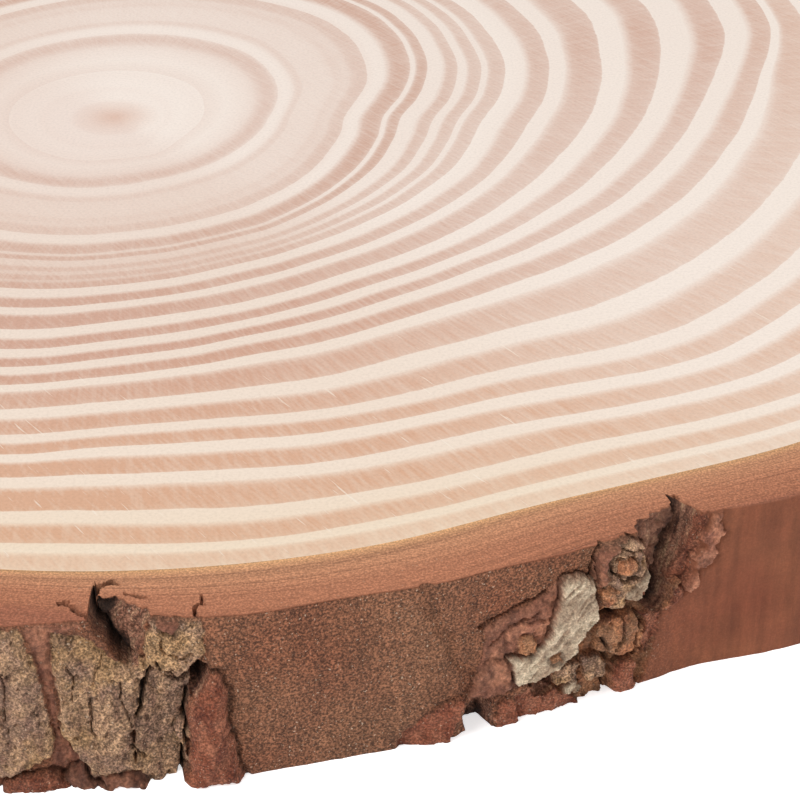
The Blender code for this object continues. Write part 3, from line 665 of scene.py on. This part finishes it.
class Wall:
    """The wall of one length of bark: its relief in mm and its finishes, laid piece by piece."""

    def __init__(self, angles, heights):
        self.angles, self.heights = np.broadcast_arrays(angles[:, None], heights[None, :])
        self.place = rim_points(self.angles, RIM_RADIUS, self.heights)
        self.swell = SWELL * self.noise("swell")
        self.rough = self.noise("rough")
        self.fine = self.noise("fine")
        layers = self.rough * LAYERS
        steps = np.floor(layers) + smooth_step(0.72, 1.0, layers % 1.0)
        self.grain = LAYER_STEP * steps / LAYERS + 0.13 * self.fine
        self.edge = EDGE_WAVER * (0.55 * self.noise("edge") + 0.6 * self.noise("fine edge"))
        self.wander = np.degrees(GROOVE_WANDER * self.noise("wander") / RIM_RADIUS)
        self.wavy_angles = self.angles + np.degrees(LINE_WAVER * self.noise("line along") / RIM_RADIUS)
        self.wavy_heights = self.heights + LINE_WAVER * self.noise("line up")
        along = arc_length(self.angles, STREAK_ANGLE)
        slanted = ((along + self.heights) * 0.14, (self.heights - along) * 1.3, along * 0.0)
        self.streaks = noise_field(np.stack(slanted, axis=-1), 1.0, 3)
        self.relief = self.swell + FLUTES * noise_field(self.place * (1.0, 1.0, 0.12), 1.6, 2)
        self.weights = {name: np.zeros_like(self.relief) for name in FINISHES}
        # Painted shade: how dark each place is painted where shade falls in cracks, notches, moats and pits
        self.painted_shade = np.zeros_like(self.relief)
        self.tint = np.zeros_like(self.relief)
        self.opened = np.zeros_like(self.relief)
        self.below_rim = 1 - 0.8 * smooth_step(THICKNESS - 0.9, THICKNESS - 0.1, self.heights)

    def noise(self, name):
        shift, length, octaves = WALL_NOISE[name]
        return noise_field(self.place + shift, length, octaves)

    def lay_plate(self, plate, middle, columns=slice(None)):
        """Lays a plate on what is there. Its slopes start at its middle, and only these columns meet it."""
        finish, pale, rise, dome, slope_x, slope_y, outline = plate
        roughness, streaked, curl = GRAIN[finish]
        depth = np.full(self.angles.shape, FAR_OUTSIDE)
        depth[columns] = outline_depth(outline, self.angles[columns], self.heights[columns])
        edge = depth + self.edge
        cover = smooth_step(0.0, PLATE_EDGE, edge) * self.below_rim
        moat = smooth_step(*MOAT_REACH, edge) * (1 - cover) * min(max(rise, 0.0), 1.0)
        lift = rise * (0.4 + 0.6 * smooth_step(0.0, dome, edge))
        lift = lift + slope_x * arc_length(self.angles, middle[0]) + slope_y * (self.heights - middle[1])
        lift = lift + curl * np.exp(-np.maximum(edge, 0.0) / CURL_LENGTH)
        lift = lift + self.swell + roughness * self.grain + streaked * self.streaks
        self.relief = (self.relief - MOAT_DEPTH * moat) * (1 - cover) + lift * cover
        # Painted shadow in the moat round the plate; the plate covers the painted shade beneath it
        self.painted_shade = np.maximum(self.painted_shade * (1 - cover), MOAT_SHADE * moat)
        self.tint = self.tint * (1 - cover) + pale * cover
        for name, weight in self.weights.items():
            self.weights[name] = weight * (1 - cover) + (name == finish) * cover

    def open_notch(self, notch):
        """Cuts a notch with torn, layered sides, and paints shade where it is deep and at its foot."""
        cut = notch_depth(notch, self.wavy_angles, self.wavy_heights)
        self.opened = np.maximum(self.opened, smooth_step(*TORN_DEPTH, cut))
        shelf = cut / NOTCH_LAYER + 0.5 * self.rough + 0.3 * self.fine
        layered = NOTCH_LAYER * (np.floor(shelf) + smooth_step(0.55, 1.0, shelf % 1.0))
        cut = np.where(cut > 0.05, 0.25 * cut + 0.75 * np.maximum(layered, 0.0), cut)
        self.relief -= cut * (1 + 0.25 * self.rough)
        low = 1 - smooth_step(*FOOT_HEIGHT, self.heights - notch[-1][0])
        # Painted shade in the deep of the notch and at its foot
        dark = np.maximum(smooth_step(*PAINTED_SHADE_DEPTH, cut), low * smooth_step(*FOOT_SHADE_DEPTH, cut))
        self.painted_shade = np.maximum(self.painted_shade, NOTCH_SHADE * dark)

    def cut_crack(self, width, depth, line):
        """Cuts a crack and paints shade in it. A wide one is a groove that wanders and gets less painted
        shade.
        """
        wide = width >= WIDE_GROOVE
        reach = line_distance(line, self.wavy_angles + self.wander * wide, self.wavy_heights) / width
        cut = 1 - smooth_step(0.15, 0.6, reach)
        self.relief -= depth * cut * (1 + 0.35 * self.rough * wide)
        # Painted shade in the crack, lighter in a wide groove
        shade = GROOVE_SHADE * (1 - smooth_step(0.05, 0.5, reach)) if wide else cut
        self.painted_shade = np.maximum(self.painted_shade, shade * smooth_step(0.3, 1.0, depth))

    def weather(self, radius):
        """Roughens the notches and pits the plates, with painted shade in the pits."""
        inside = rim_points(self.angles, radius + self.relief, self.heights)
        self.relief += NOTCH_ROUGHNESS * self.opened * noise_field(inside, 1.1, 4)
        self.tint -= 0.5 * self.opened * noise_field(inside + 30.0, 0.9, 2)
        pits = PIT_DEPTH * smooth_step(0.45, 0.7, self.noise("pits"))
        pits = pits * (self.weights[KHAKI] + self.weights[ORANGE])
        self.relief -= pits
        # Painted shade in the pits
        self.painted_shade = np.maximum(self.painted_shade, pits)


def bark_wall(angles, heights, seed):
    """The finished wall of one length of bark, and its radius at every column and height."""
    dice = random.Random(seed)
    paint = random.Random(seed + 7)
    wall = Wall(angles, heights)
    for plate in FRONT_PLATES:
        wall.lay_plate(plate, [sum(values) / len(values) for values in zip(*plate[-1])])
    cracks, notches = [*FRONT_CRACKS], [*FRONT_NOTCHES]
    for angle in CLUSTER_ANGLES:
        plates, grooves, notch, flakes = grown_cluster(angle, dice)
        near = np.abs(arc_length(angles, angle)) < CLUSTER_REACH
        for plate, middle in grown_plates(angle, plates, flakes, paint):
            if near.any():
                wall.lay_plate(plate, middle, near)
        cracks += grooves
        notches.append(notch)
    for notch in notches:
        wall.open_notch(notch)
    for crack in cracks:
        wall.cut_crack(*crack)
    inner = round_curve(WOOD_RADIUS, angles)[:, None]
    outside = inner + round_curve(BARK_THICKNESS, angles)[:, None]
    wall.weather(outside)
    forward = np.maximum(-np.sin(np.radians(angles)), 1e-3)[:, None]
    furthest = (PITH_Y - FRONT_LIMIT) / forward
    return wall, np.minimum(np.maximum(outside + wall.relief, inner + THINNEST_BARK), furthest)


# Bark: mesh

def sawn_face(angles, inner, outer, shares, level, out, noise_level):
    """Radii and heights of one sawn face of the bark, rough except at the wood's edge."""
    radii = inner + (outer - inner) * shares
    place = rim_points(angles[:, None], radii, noise_level)
    rough = SAWN_ROUGHNESS * np.maximum(0.5 + 0.5 * noise_field(place, 1.3, 3), 0.0)
    return radii, level - out * rough * np.minimum(radii - inner, 1.0)


def cut_top_cracks(angles, radii, heights, from_outside):
    """Lowers the sawn top along its cracks and gives how open each place is, which is painted dark as shade.
    """
    place = rim_points(angles[:, None], radii, 0.0)
    wavy_angles = angles[:, None] + np.degrees(LINE_WAVER * noise_field(place, 0.9, 3) / RIM_RADIUS)
    wavy_depths = from_outside + LINE_WAVER * noise_field(place + 60.0, 0.9, 3)
    crack_shade = np.zeros_like(radii)
    for width, depth, line in TOP_CRACKS:
        cut = 1 - smooth_step(0.15, 0.7, line_distance(line, wavy_angles, wavy_depths) / width)
        heights -= depth * cut
        crack_shade = np.maximum(crack_shade, cut)
    return crack_shade


def build_bark(name, angles, seed):
    """One length of bark: sawn top, wall and sawn underside, with its finishes as attributes."""
    wall_heights = np.linspace(THICKNESS, 0.0, WALL_ROWS + 1)
    wall, radius = bark_wall(angles, wall_heights, seed)
    inner = round_curve(WOOD_RADIUS, angles)[:, None]
    shares = np.linspace(0.0, 1.0, TOP_ROWS)
    top_radii, top_heights = sawn_face(angles, inner, radius[:, :1], shares, THICKNESS, 1.0, 0.0)
    shares = np.linspace(1.0, 0.0, UNDER_ROWS + 1)[1:]
    under_radii, under_heights = sawn_face(angles, inner, radius[:, -1:], shares, 0.0, -1.0, 40.0)
    from_outside = inner + round_curve(BARK_THICKNESS, angles)[:, None] - top_radii
    crack_shade = cut_top_cracks(angles, top_radii, top_heights, from_outside)
    top_heights[:, -1] = THICKNESS
    top = rim_points(angles[:, None], top_radii, top_heights)
    side = rim_points(angles[:, None], radius[:, 1:], wall_heights[1:])
    under = rim_points(angles[:, None], under_radii, under_heights)

    def spread(on_wall, on_top=0.0, on_under=0.0):
        """Values over the top, the wall, the underside and back to the first row."""
        on_top = np.broadcast_to(on_top, top_radii.shape)
        on_under = np.broadcast_to(on_under, under_radii.shape)
        return np.concatenate([on_top, on_wall[:, 1:], on_under, on_top[:, :1]], axis=1)

    sawn_top = np.ones_like(top_radii)
    sawn_top[:, -1] = 0.5
    sandy = np.broadcast_to(round_curve(SANDY, angles)[:, None], radius.shape)
    darkening = round_curve(DARKENING, angles)[:, None]
    masks = {finish: spread(wall.weights[finish]) for finish in FINISHES}
    attributes = {
        "sawn": spread(radius * 0.0, sawn_top, 1.0),
        "layer": spread(radius - inner, darkening * (top_radii - inner), under_radii - inner),
        "painted_shade": spread(wall.painted_shade, crack_shade),
        "tint": spread(wall.tint),
        "streak": spread(wall.streaks),
        "torn": spread(wall.opened),
        "crust": np.stack([masks[KHAKI], masks[GREY], masks[RED]], axis=-1),
        "skin": np.stack([masks[PURPLE], masks[ORANGE], spread(sandy)], axis=-1),
    }
    return wrapped_grid(name, np.concatenate([top, side, under, top[:, :1]], axis=1), attributes, 40.0)


# Materials

class Graph:
    """Short ways to add and join the nodes of one material."""

    def __init__(self, name):
        self.material = bpy.data.materials.new(name)
        self.material.use_nodes = True
        self.tree = self.material.node_tree
        self.shader = self.tree.nodes["Principled BSDF"]
        self.object = self.tree.nodes.new("ShaderNodeTexCoord").outputs["Object"]

    def node(self, kind, inputs, output=0, **settings):
        node = self.tree.nodes.new(kind)
        for name, value in settings.items():
            setattr(node, name, value)
        for socket, value in inputs.items():
            self.feed(node.inputs[socket], value)
        return node.outputs[output]

    def feed(self, socket, value):
        if isinstance(value, bpy.types.NodeSocket):
            self.tree.links.new(value, socket)
        elif socket.type == "RGBA" and len(value) == 3:
            socket.default_value = (*value, 1.0)
        else:
            socket.default_value = value

    def attribute(self, name, output="Fac"):
        return self.node("ShaderNodeAttribute", {}, output, attribute_name=name)

    def parts(self, name):
        """The three parts of a vector attribute."""
        return self.node("ShaderNodeSeparateXYZ", {0: self.attribute(name, "Vector")}).node.outputs

    def math(self, operation, first, second=0.0, third=0.0, clamp=False):
        inputs = {0: first, 1: second, 2: third}
        return self.node("ShaderNodeMath", inputs, operation=operation, use_clamp=clamp)

    def times(self, first, second):
        return self.math("MULTIPLY", first, second)

    def times_add(self, first, second, third):
        return self.math("MULTIPLY_ADD", first, second, third)

    def vector(self, operation, first, second=(0.0, 0.0, 0.0), output=0):
        return self.node("ShaderNodeVectorMath", {0: first, 1: second}, output, operation=operation)

    def between(self, share, low, high):
        return self.node("ShaderNodeMapRange", {0: share, 3: low, 4: high})

    def mix(self, share, first, second, blend="MIX"):
        inputs = {0: share, 6: first, 7: second}
        return self.node("ShaderNodeMix", inputs, 2, data_type="RGBA", blend_type=blend)

    def mapped(self, scale, turn=(0.0, 0.0, 0.0), kind="POINT"):
        inputs = {"Vector": self.object, "Rotation": turn, "Scale": scale}
        return self.node("ShaderNodeMapping", inputs, vector_type=kind)

    def noise(self, scale, detail=2.0, rough=0.5, vector=None):
        inputs = {"Vector": vector or self.object, "Scale": scale, "Detail": detail, "Roughness": rough}
        return self.node("ShaderNodeTexNoise", inputs, "Fac")

    def ramp(self, value, *stops):
        ramp = self.node("ShaderNodeValToRGB", {0: value})
        elements = ramp.node.color_ramp.elements
        while len(elements) < len(stops):
            elements.new(0.5)
        for element, (place, colour) in zip(elements, stops):
            element.position = place
            element.color = (*colour, 1.0) if not isinstance(colour, float) else (colour,) * 3 + (1.0,)
        return ramp

    def shade(self, colour, value, *stops):
        """A colour darkened and lightened by the ramp of a value."""
        return self.mix(1.0, colour, self.ramp(value, *stops), "MULTIPLY")

    def banded(self, layer, bands, drift):
        """Noise in thin bands along the layer, drifting over the piece."""
        across = self.node("ShaderNodeCombineXYZ", {0: self.times(layer, bands)})
        around = self.vector("MULTIPLY", self.object, drift)
        return self.noise(1.0, 4, 0.65, vector=self.vector("ADD", across, around))

    def finish(self, colour, roughness, height, strength, depth, shine):
        """Joins colour, roughness and the bump of a height to the shader."""
        inputs = {"Height": height, "Strength": strength, "Distance": depth}
        self.feed(self.shader.inputs["Base Color"], colour)
        self.feed(self.shader.inputs["Roughness"], roughness)
        self.feed(self.shader.inputs["Normal"], self.node("ShaderNodeBump", inputs))
        self.feed(self.shader.inputs["Specular IOR Level"], shine)
        return self.material


def srgb(red, green, blue):
    """Linear colour from the 0 to 255 numbers of a colour picker."""
    return tuple(c / 12.92 if c <= 0.04045 else ((c + 0.055) / 1.055) ** 2.4
                 for c in (value / 255 for value in (red, green, blue)))


def wood_material(settings):
    """Sanded wood: pale and brown bands by year, crossed by sanding scratches and rays."""
    g = Graph("sanded_conifer")
    centre = g.vector("ADD", g.object, (-PITH_X * MM, -PITH_Y * MM, 0.0))
    flat = g.vector("MULTIPLY", centre, (1.0, 1.0, 0.0))
    length = g.vector("LENGTH", flat, output="Value")
    tone = g.parts("tone")
    ragged = g.times_add(g.noise(520, 3, 0.6), 0.05, -0.025)
    phase = g.math("FRACT", g.math("ADD", g.attribute("year"), ragged))
    sharp = g.ramp(phase, (0.0, 0.0), (0.41, 0.0), (0.50, 0.45), (0.58, 0.9), (0.68, 1.0), (0.86, 0.95),
                   (0.975, 0.84), (1.0, 0.6))
    soft = g.ramp(phase, (0.0, 0.30), (0.22, 0.08), (0.5, 0.35), (0.75, 0.85), (0.9, 0.75), (1.0, 0.30))
    profile = g.mix(g.ramp(tone[2], (0.12, 1.0), (0.45, 0.0)), sharp, soft)
    scratches = g.noise(1.0, 2, 0.55, vector=g.mapped((1 / 170, 1 / 2300, 1.0), (0.0, 0.0, SCRATCH_TURN),
                                                      "TEXTURE"))
    around = g.vector("MULTIPLY", g.vector("NORMALIZE", flat), (150.0, 150.0, 0.0))
    along = g.node("ShaderNodeCombineXYZ", {2: g.times(length, 160.0)})
    rays = g.noise(1.0, 2, 0.55, vector=g.vector("ADD", around, along))
    band = g.times(g.between(profile, tone[0], tone[1]), g.attribute("strength"))
    band = g.times(band, g.ramp(scratches, (0.34, 0.86), (0.50, 1.0), (0.66, 1.12)))
    band = g.times(band, g.ramp(rays, (0.32, 0.88), (0.50, 1.0), (0.68, 1.10)))
    band = g.math("MULTIPLY", band, g.ramp(g.noise(38, 2, 0.5), (0.3, 0.9), (0.7, 1.08)), clamp=True)
    brown = g.ramp(tone[2], (0.0, srgb(212, 176, 160)), (0.40, srgb(209, 171, 152)),
                   (0.62, srgb(206, 162, 141)), (0.80, settings.brown_wood), (1.0, srgb(216, 170, 138)))
    pale = g.ramp(tone[2], (0.0, srgb(238, 221, 211)), (0.45, srgb(238, 222, 208)),
                  (0.85, settings.pale_wood), (0.96, srgb(238, 219, 196)), (1.0, srgb(243, 229, 206)))
    # The pale wood lightens on the right side: partly the wood's own and partly painted light
    pale = g.mix(g.times(g.attribute("paling_and_painted_light"), 0.8), pale, srgb(246, 234, 224))
    colour = g.mix(band, pale, brown)
    heart = g.math("DIVIDE", length, HEART_RADIUS * MM)
    heart = g.ramp(heart, (0.0, 0.95), (0.25, 0.7), (0.6, 0.3), (1.0, 0.0))
    colour = g.mix(heart, colour, srgb(222, 188, 170))
    pale_line = g.times(g.ramp(scratches, (0.66, 0.0), (0.72, 0.6)), g.ramp(tone[2], (0.5, 0.0), (0.75, 1.0)))
    colour = g.mix(pale_line, colour, srgb(245, 232, 216))
    colour = g.shade(colour, g.noise(2600, 2, 0.6), (0.30, 0.93), (0.5, 1.0), (0.7, 1.04))
    height = g.math("ADD", g.times(g.noise(1800, 3, 0.6), 0.5), g.times(band, -0.35))
    return g.finish(colour, g.times_add(band, 0.06, settings.wood_roughness), height, 0.25, 0.00015, 0.35)


def bark_material(settings):
    """Bark: a fibrous or sandy wall under crusted plates, torn notches, cracks and the sawn faces."""
    g = Graph("conifer_bark")
    crust, skin = g.parts("crust"), g.parts("skin")
    weights = {KHAKI: crust[0], GREY: crust[1], RED: crust[2], PURPLE: skin[0], ORANGE: skin[1]}
    sandy = skin[2]
    sawn, layer = g.attribute("sawn"), g.attribute("layer")
    grit = g.noise(4200, 2, 0.6)
    patch = g.noise(330, 5, 0.6)
    fibres = g.noise(900, 3, 0.6, vector=g.mapped((1.0, 1.0, 0.10)))
    broad = g.ramp(g.noise(60, 3, 0.55), (0.35, 0.0), (0.65, 1.0))
    colour = g.mix(sandy, g.mix(broad, srgb(119, 65, 44), settings.smooth_bark),
                   g.mix(broad, srgb(118, 71, 49), settings.sandy_bark))
    colour = g.shade(colour, g.noise(22, 2, 0.5), (0.35, 0.86), (0.5, 0.955), (0.65, 1.035))
    colour = g.shade(colour, fibres, (0.3, 0.80), (0.7, 1.16))
    colour = g.shade(colour, patch, (0.36, 0.90), (0.64, 1.08))
    slanted = g.mapped((1.0, 1.0, 0.42), (0.0, 0.7, 0.0))
    sharp = g.ramp(g.noise(800, 5, 0.6, vector=slanted), (0.37, 0.0), (0.63, 1.0))
    blotch = g.ramp(patch, (0.44, 0.0), (0.56, 1.0))
    streak = g.times_add(g.attribute("streak"), 0.5, 0.5)
    lumps = g.noise(2000, 3, 0.6)
    for name, (dark, light, spots, spotted, contrast) in FINISH_COLOURS.items():
        if name == GREY:
            finish = g.mix(g.ramp(streak, (0.36, 0.0), (0.64, 1.0)), srgb(*dark), srgb(*light))
            finish = g.mix(g.times(sharp, 0.55), finish, srgb(204, 184, 158))
        else:
            finish = g.mix(sharp, srgb(*dark), srgb(*light))
        finish = g.mix(g.times(blotch, spotted), finish, srgb(*spots))
        if name == KHAKI:
            ochre = g.ramp(g.noise(170, 4, 0.6), (0.48, 0.0), (0.60, 0.65))
            finish = g.mix(ochre, finish, srgb(163, 127, 86))
            finish = g.shade(finish, streak, (0.36, 0.86), (0.64, 1.10))
        if contrast:
            finish = g.shade(finish, lumps, (0.38, contrast[0]), (0.5, 1.0), (0.62, contrast[1]))
        colour = g.mix(weights[name], colour, finish)
    torn = g.ramp(g.banded(layer, 1.3, (420.0, 420.0, 260.0)), (0.34, srgb(78, 48, 36)),
                  (0.46, srgb(120, 80, 62)), (0.56, srgb(134, 94, 74)), (0.66, srgb(168, 130, 100)))
    colour = g.mix(g.attribute("torn"), colour, torn)
    colour = g.mix(1.0, colour, g.times_add(g.attribute("tint"), 0.3, 1.0), "MULTIPLY")
    cut = g.ramp(g.math("DIVIDE", layer, 9.0), (0.0, srgb(206, 158, 112)), (0.05, srgb(194, 144, 104)),
                 (0.14, srgb(188, 134, 100)), (0.5, settings.sawn_bark), (0.85, srgb(166, 107, 79)),
                 (1.0, srgb(156, 98, 74)))
    cut = g.shade(cut, g.banded(layer, 2.8, (45.0, 45.0, 45.0)), (0.34, 0.70), (0.45, 0.97), (0.64, 1.16))
    colour = g.mix(sawn, colour, cut)
    bare = 1.0
    for name in GRITTY:
        bare = g.math("SUBTRACT", bare, weights[name], clamp=True)
    gritty = g.times(sandy, bare)
    for name, share in GRITTY.items():
        gritty = g.times_add(weights[name], share, gritty)
    gritty = g.math("MAXIMUM", gritty, g.times(crust[0], KHAKI_GRIT), clamp=True)
    gritty = g.between(sawn, gritty, SAWN_GRIT)
    speckled = g.shade(colour, grit, (0.36, 0.40), (0.5, 0.95), (0.64, 1.9))
    colour = g.mix(g.times_add(gritty, 0.9, 0.1), colour, speckled)
    # Painted glints: sparse pale specks standing in for glints of light on the grit
    painted_glints = g.times(g.ramp(g.noise(3600, 2, 0.5), (0.67, 0.0), (0.73, 0.7)), gritty)
    colour = g.mix(painted_glints, colour, srgb(214, 190, 164))
    # Painted shade in cracks, notches, moats, pits and the sawn top's cracks, in the crack colour
    colour = g.mix(g.times(g.attribute("painted_shade"), 0.95), colour, settings.crack)
    height = g.times_add(grit, 0.3, g.times(g.noise(1100, 5, 0.65), 0.9))
    height = g.times(height, g.times_add(gritty, 0.75, 0.25))
    height = g.math("ADD", height, g.times(fibres, 0.25))
    return g.finish(colour, settings.bark_roughness, height, 0.8, 0.0005, 0.3)


# Stage

def build_stage(settings):
    """Adds the floor, the even light of the room, the lamps and the camera."""
    bpy.ops.object.select_all(action="DESELECT")
    bpy.ops.mesh.primitive_plane_add(size=FLOOR_SIZE, location=(0.0, 0.0, 0.0))
    floor = bpy.context.active_object
    floor.name = "floor"
    material = bpy.data.materials.new("pale_floor")
    material.use_nodes = True
    inputs = material.node_tree.nodes["Principled BSDF"].inputs
    inputs["Base Color"].default_value = (0.95, 0.95, 0.95, 1.0)
    inputs["Roughness"].default_value = 0.9
    inputs["Emission Color"].default_value = WHITE
    inputs["Emission Strength"].default_value = FLOOR_GLOW
    floor.data.materials.append(material)
    world = bpy.data.worlds.new("studio")
    world.use_nodes = True
    background = world.node_tree.nodes["Background"]
    background.inputs["Color"].default_value = WHITE
    background.inputs["Strength"].default_value = settings.room_light
    scene = bpy.context.scene
    scene.world = world
    for name, place, size, share in LAMPS:
        lamp = bpy.data.lights.new(name, "AREA")
        lamp.size = size
        lamp.energy = settings.key_light * share
        holder = bpy.data.objects.new(name, lamp)
        holder.location = place
        holder.rotation_euler = (-Vector(place)).to_track_quat("-Z", "Y").to_euler()
        scene.collection.objects.link(holder)
    camera = bpy.data.cameras.new("camera")
    camera.lens = CAMERA_LENS
    camera.sensor_width = CAMERA_SENSOR
    holder = bpy.data.objects.new("camera", camera)
    holder.location = Vector((PITH_X - CAMERA_TO_PITH[0], PITH_Y - CAMERA_TO_PITH[1],
                              THICKNESS + CAMERA_ABOVE_TOP)) * MM
    holder.rotation_euler = (math.radians(90.0 - CAMERA_PITCH), 0.0, 0.0)
    scene.collection.objects.link(holder)
    scene.camera = holder
    scene.view_settings.view_transform = "Standard"


# Add-on

def colour_property(name, description, *picked):
    """A colour setting whose default is given as a colour picker's numbers."""
    return FloatVectorProperty(name=name, description=description, subtype="COLOR", size=3, min=0.0, max=1.0,
                               default=srgb(*picked))


class SliceSettings(bpy.types.PropertyGroup):
    seed: IntProperty(name="Seed", description="Which pattern the broken bark grows in", default=23)
    ring_waver: FloatProperty(name="Ring waver", description="How far the rings stray from an even curve",
                              default=0.22 * MM, min=0.0, unit="LENGTH")
    pale_wood: colour_property("Pale wood", "Wood grown in spring, near the rim", 240, 223, 206)
    brown_wood: colour_property("Brown wood", "Wood grown in autumn, near the rim", 215, 170, 142)
    sawn_bark: colour_property("Sawn bark", "Middle of the bark on the sanded faces", 176, 117, 87)
    smooth_bark: colour_property("Smooth bark", "Light parts of the smooth wall", 132, 79, 53)
    sandy_bark: colour_property("Sandy bark", "Light parts of the grainy wall", 126, 86, 62)
    # The colour of the painted shade in cracks, holes, notches and pits
    crack: colour_property("Crack", "Bottom of cracks and holes", 28, 18, 13)
    wood_roughness: FloatProperty(name="Wood roughness", description="How matt the sanded wood is",
                                  default=0.58, min=0.0, max=1.0, subtype="FACTOR")
    bark_roughness: FloatProperty(name="Bark roughness", description="How matt the bark is",
                                  default=0.85, min=0.0, max=1.0, subtype="FACTOR")
    key_light: FloatProperty(name="Key light", description="Power of the key light", default=25.5,
                             min=0.0, unit="POWER")
    room_light: FloatProperty(name="Room light", description="Strength of the even light from all sides",
                              default=0.4, min=0.0)


class SLICE_OT_wood(bpy.types.Operator):
    """Builds the sanded wood with its growth rings"""
    bl_idname = "slice.wood"
    bl_label = "Sanded Wood"

    def execute(self, context):
        settings = context.scene.slice_settings
        wood = build_wood(settings)
        wood.data.materials.append(wood_material(settings))
        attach(wood, BODY)
        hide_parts(NODE)
        return {"FINISHED"}


class SLICE_OT_bark(bpy.types.Operator):
    """Builds the bark with its plates, notches and cracks, as a front, a right and a left part"""
    bl_idname = "slice.bark"
    bl_label = "Bark"

    def execute(self, context):
        settings = context.scene.slice_settings
        material = bark_material(settings)
        sides = [(name, side_columns(start, end)) for name, start, end in SIDE_SPANS]
        for name, angles in [("bark_front", front_columns()), *sides]:
            bark = build_bark(name, angles, settings.seed)
            bark.data.materials.append(material)
            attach(bark, BODY)
            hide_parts(NODE)
        return {"FINISHED"}


class SLICE_OT_stage(bpy.types.Operator):
    """Adds the floor, the lights and the camera"""
    bl_idname = "slice.stage"
    bl_label = "Stage"

    def execute(self, context):
        build_stage(context.scene.slice_settings)
        return {"FINISHED"}


OPERATORS = (SLICE_OT_wood, SLICE_OT_bark, SLICE_OT_stage)


class SLICE_PT_panel(bpy.types.Panel):
    """Lists the pieces of the slice"""
    bl_idname = "SLICE_PT_panel"
    bl_label = "Wood Slice"
    bl_space_type = "VIEW_3D"
    bl_region_type = "UI"
    bl_category = "Wood Slice"

    def draw(self, context):
        for operator in OPERATORS:
            self.layout.operator(operator.bl_idname)
        for name in SliceSettings.__annotations__:
            self.layout.prop(context.scene.slice_settings, name)


CLASSES = (SliceSettings, *OPERATORS, SLICE_PT_panel)


def register():
    for item in CLASSES:
        bpy.utils.register_class(item)
    bpy.types.Scene.slice_settings = PointerProperty(type=SliceSettings)


def unregister():
    del bpy.types.Scene.slice_settings
    for item in reversed(CLASSES):
        bpy.utils.unregister_class(item)


def main():
    register()
    bpy.ops.slice.wood()
    bpy.ops.slice.bark()
    bpy.ops.slice.stage()


if __name__ == "__main__":
    main()
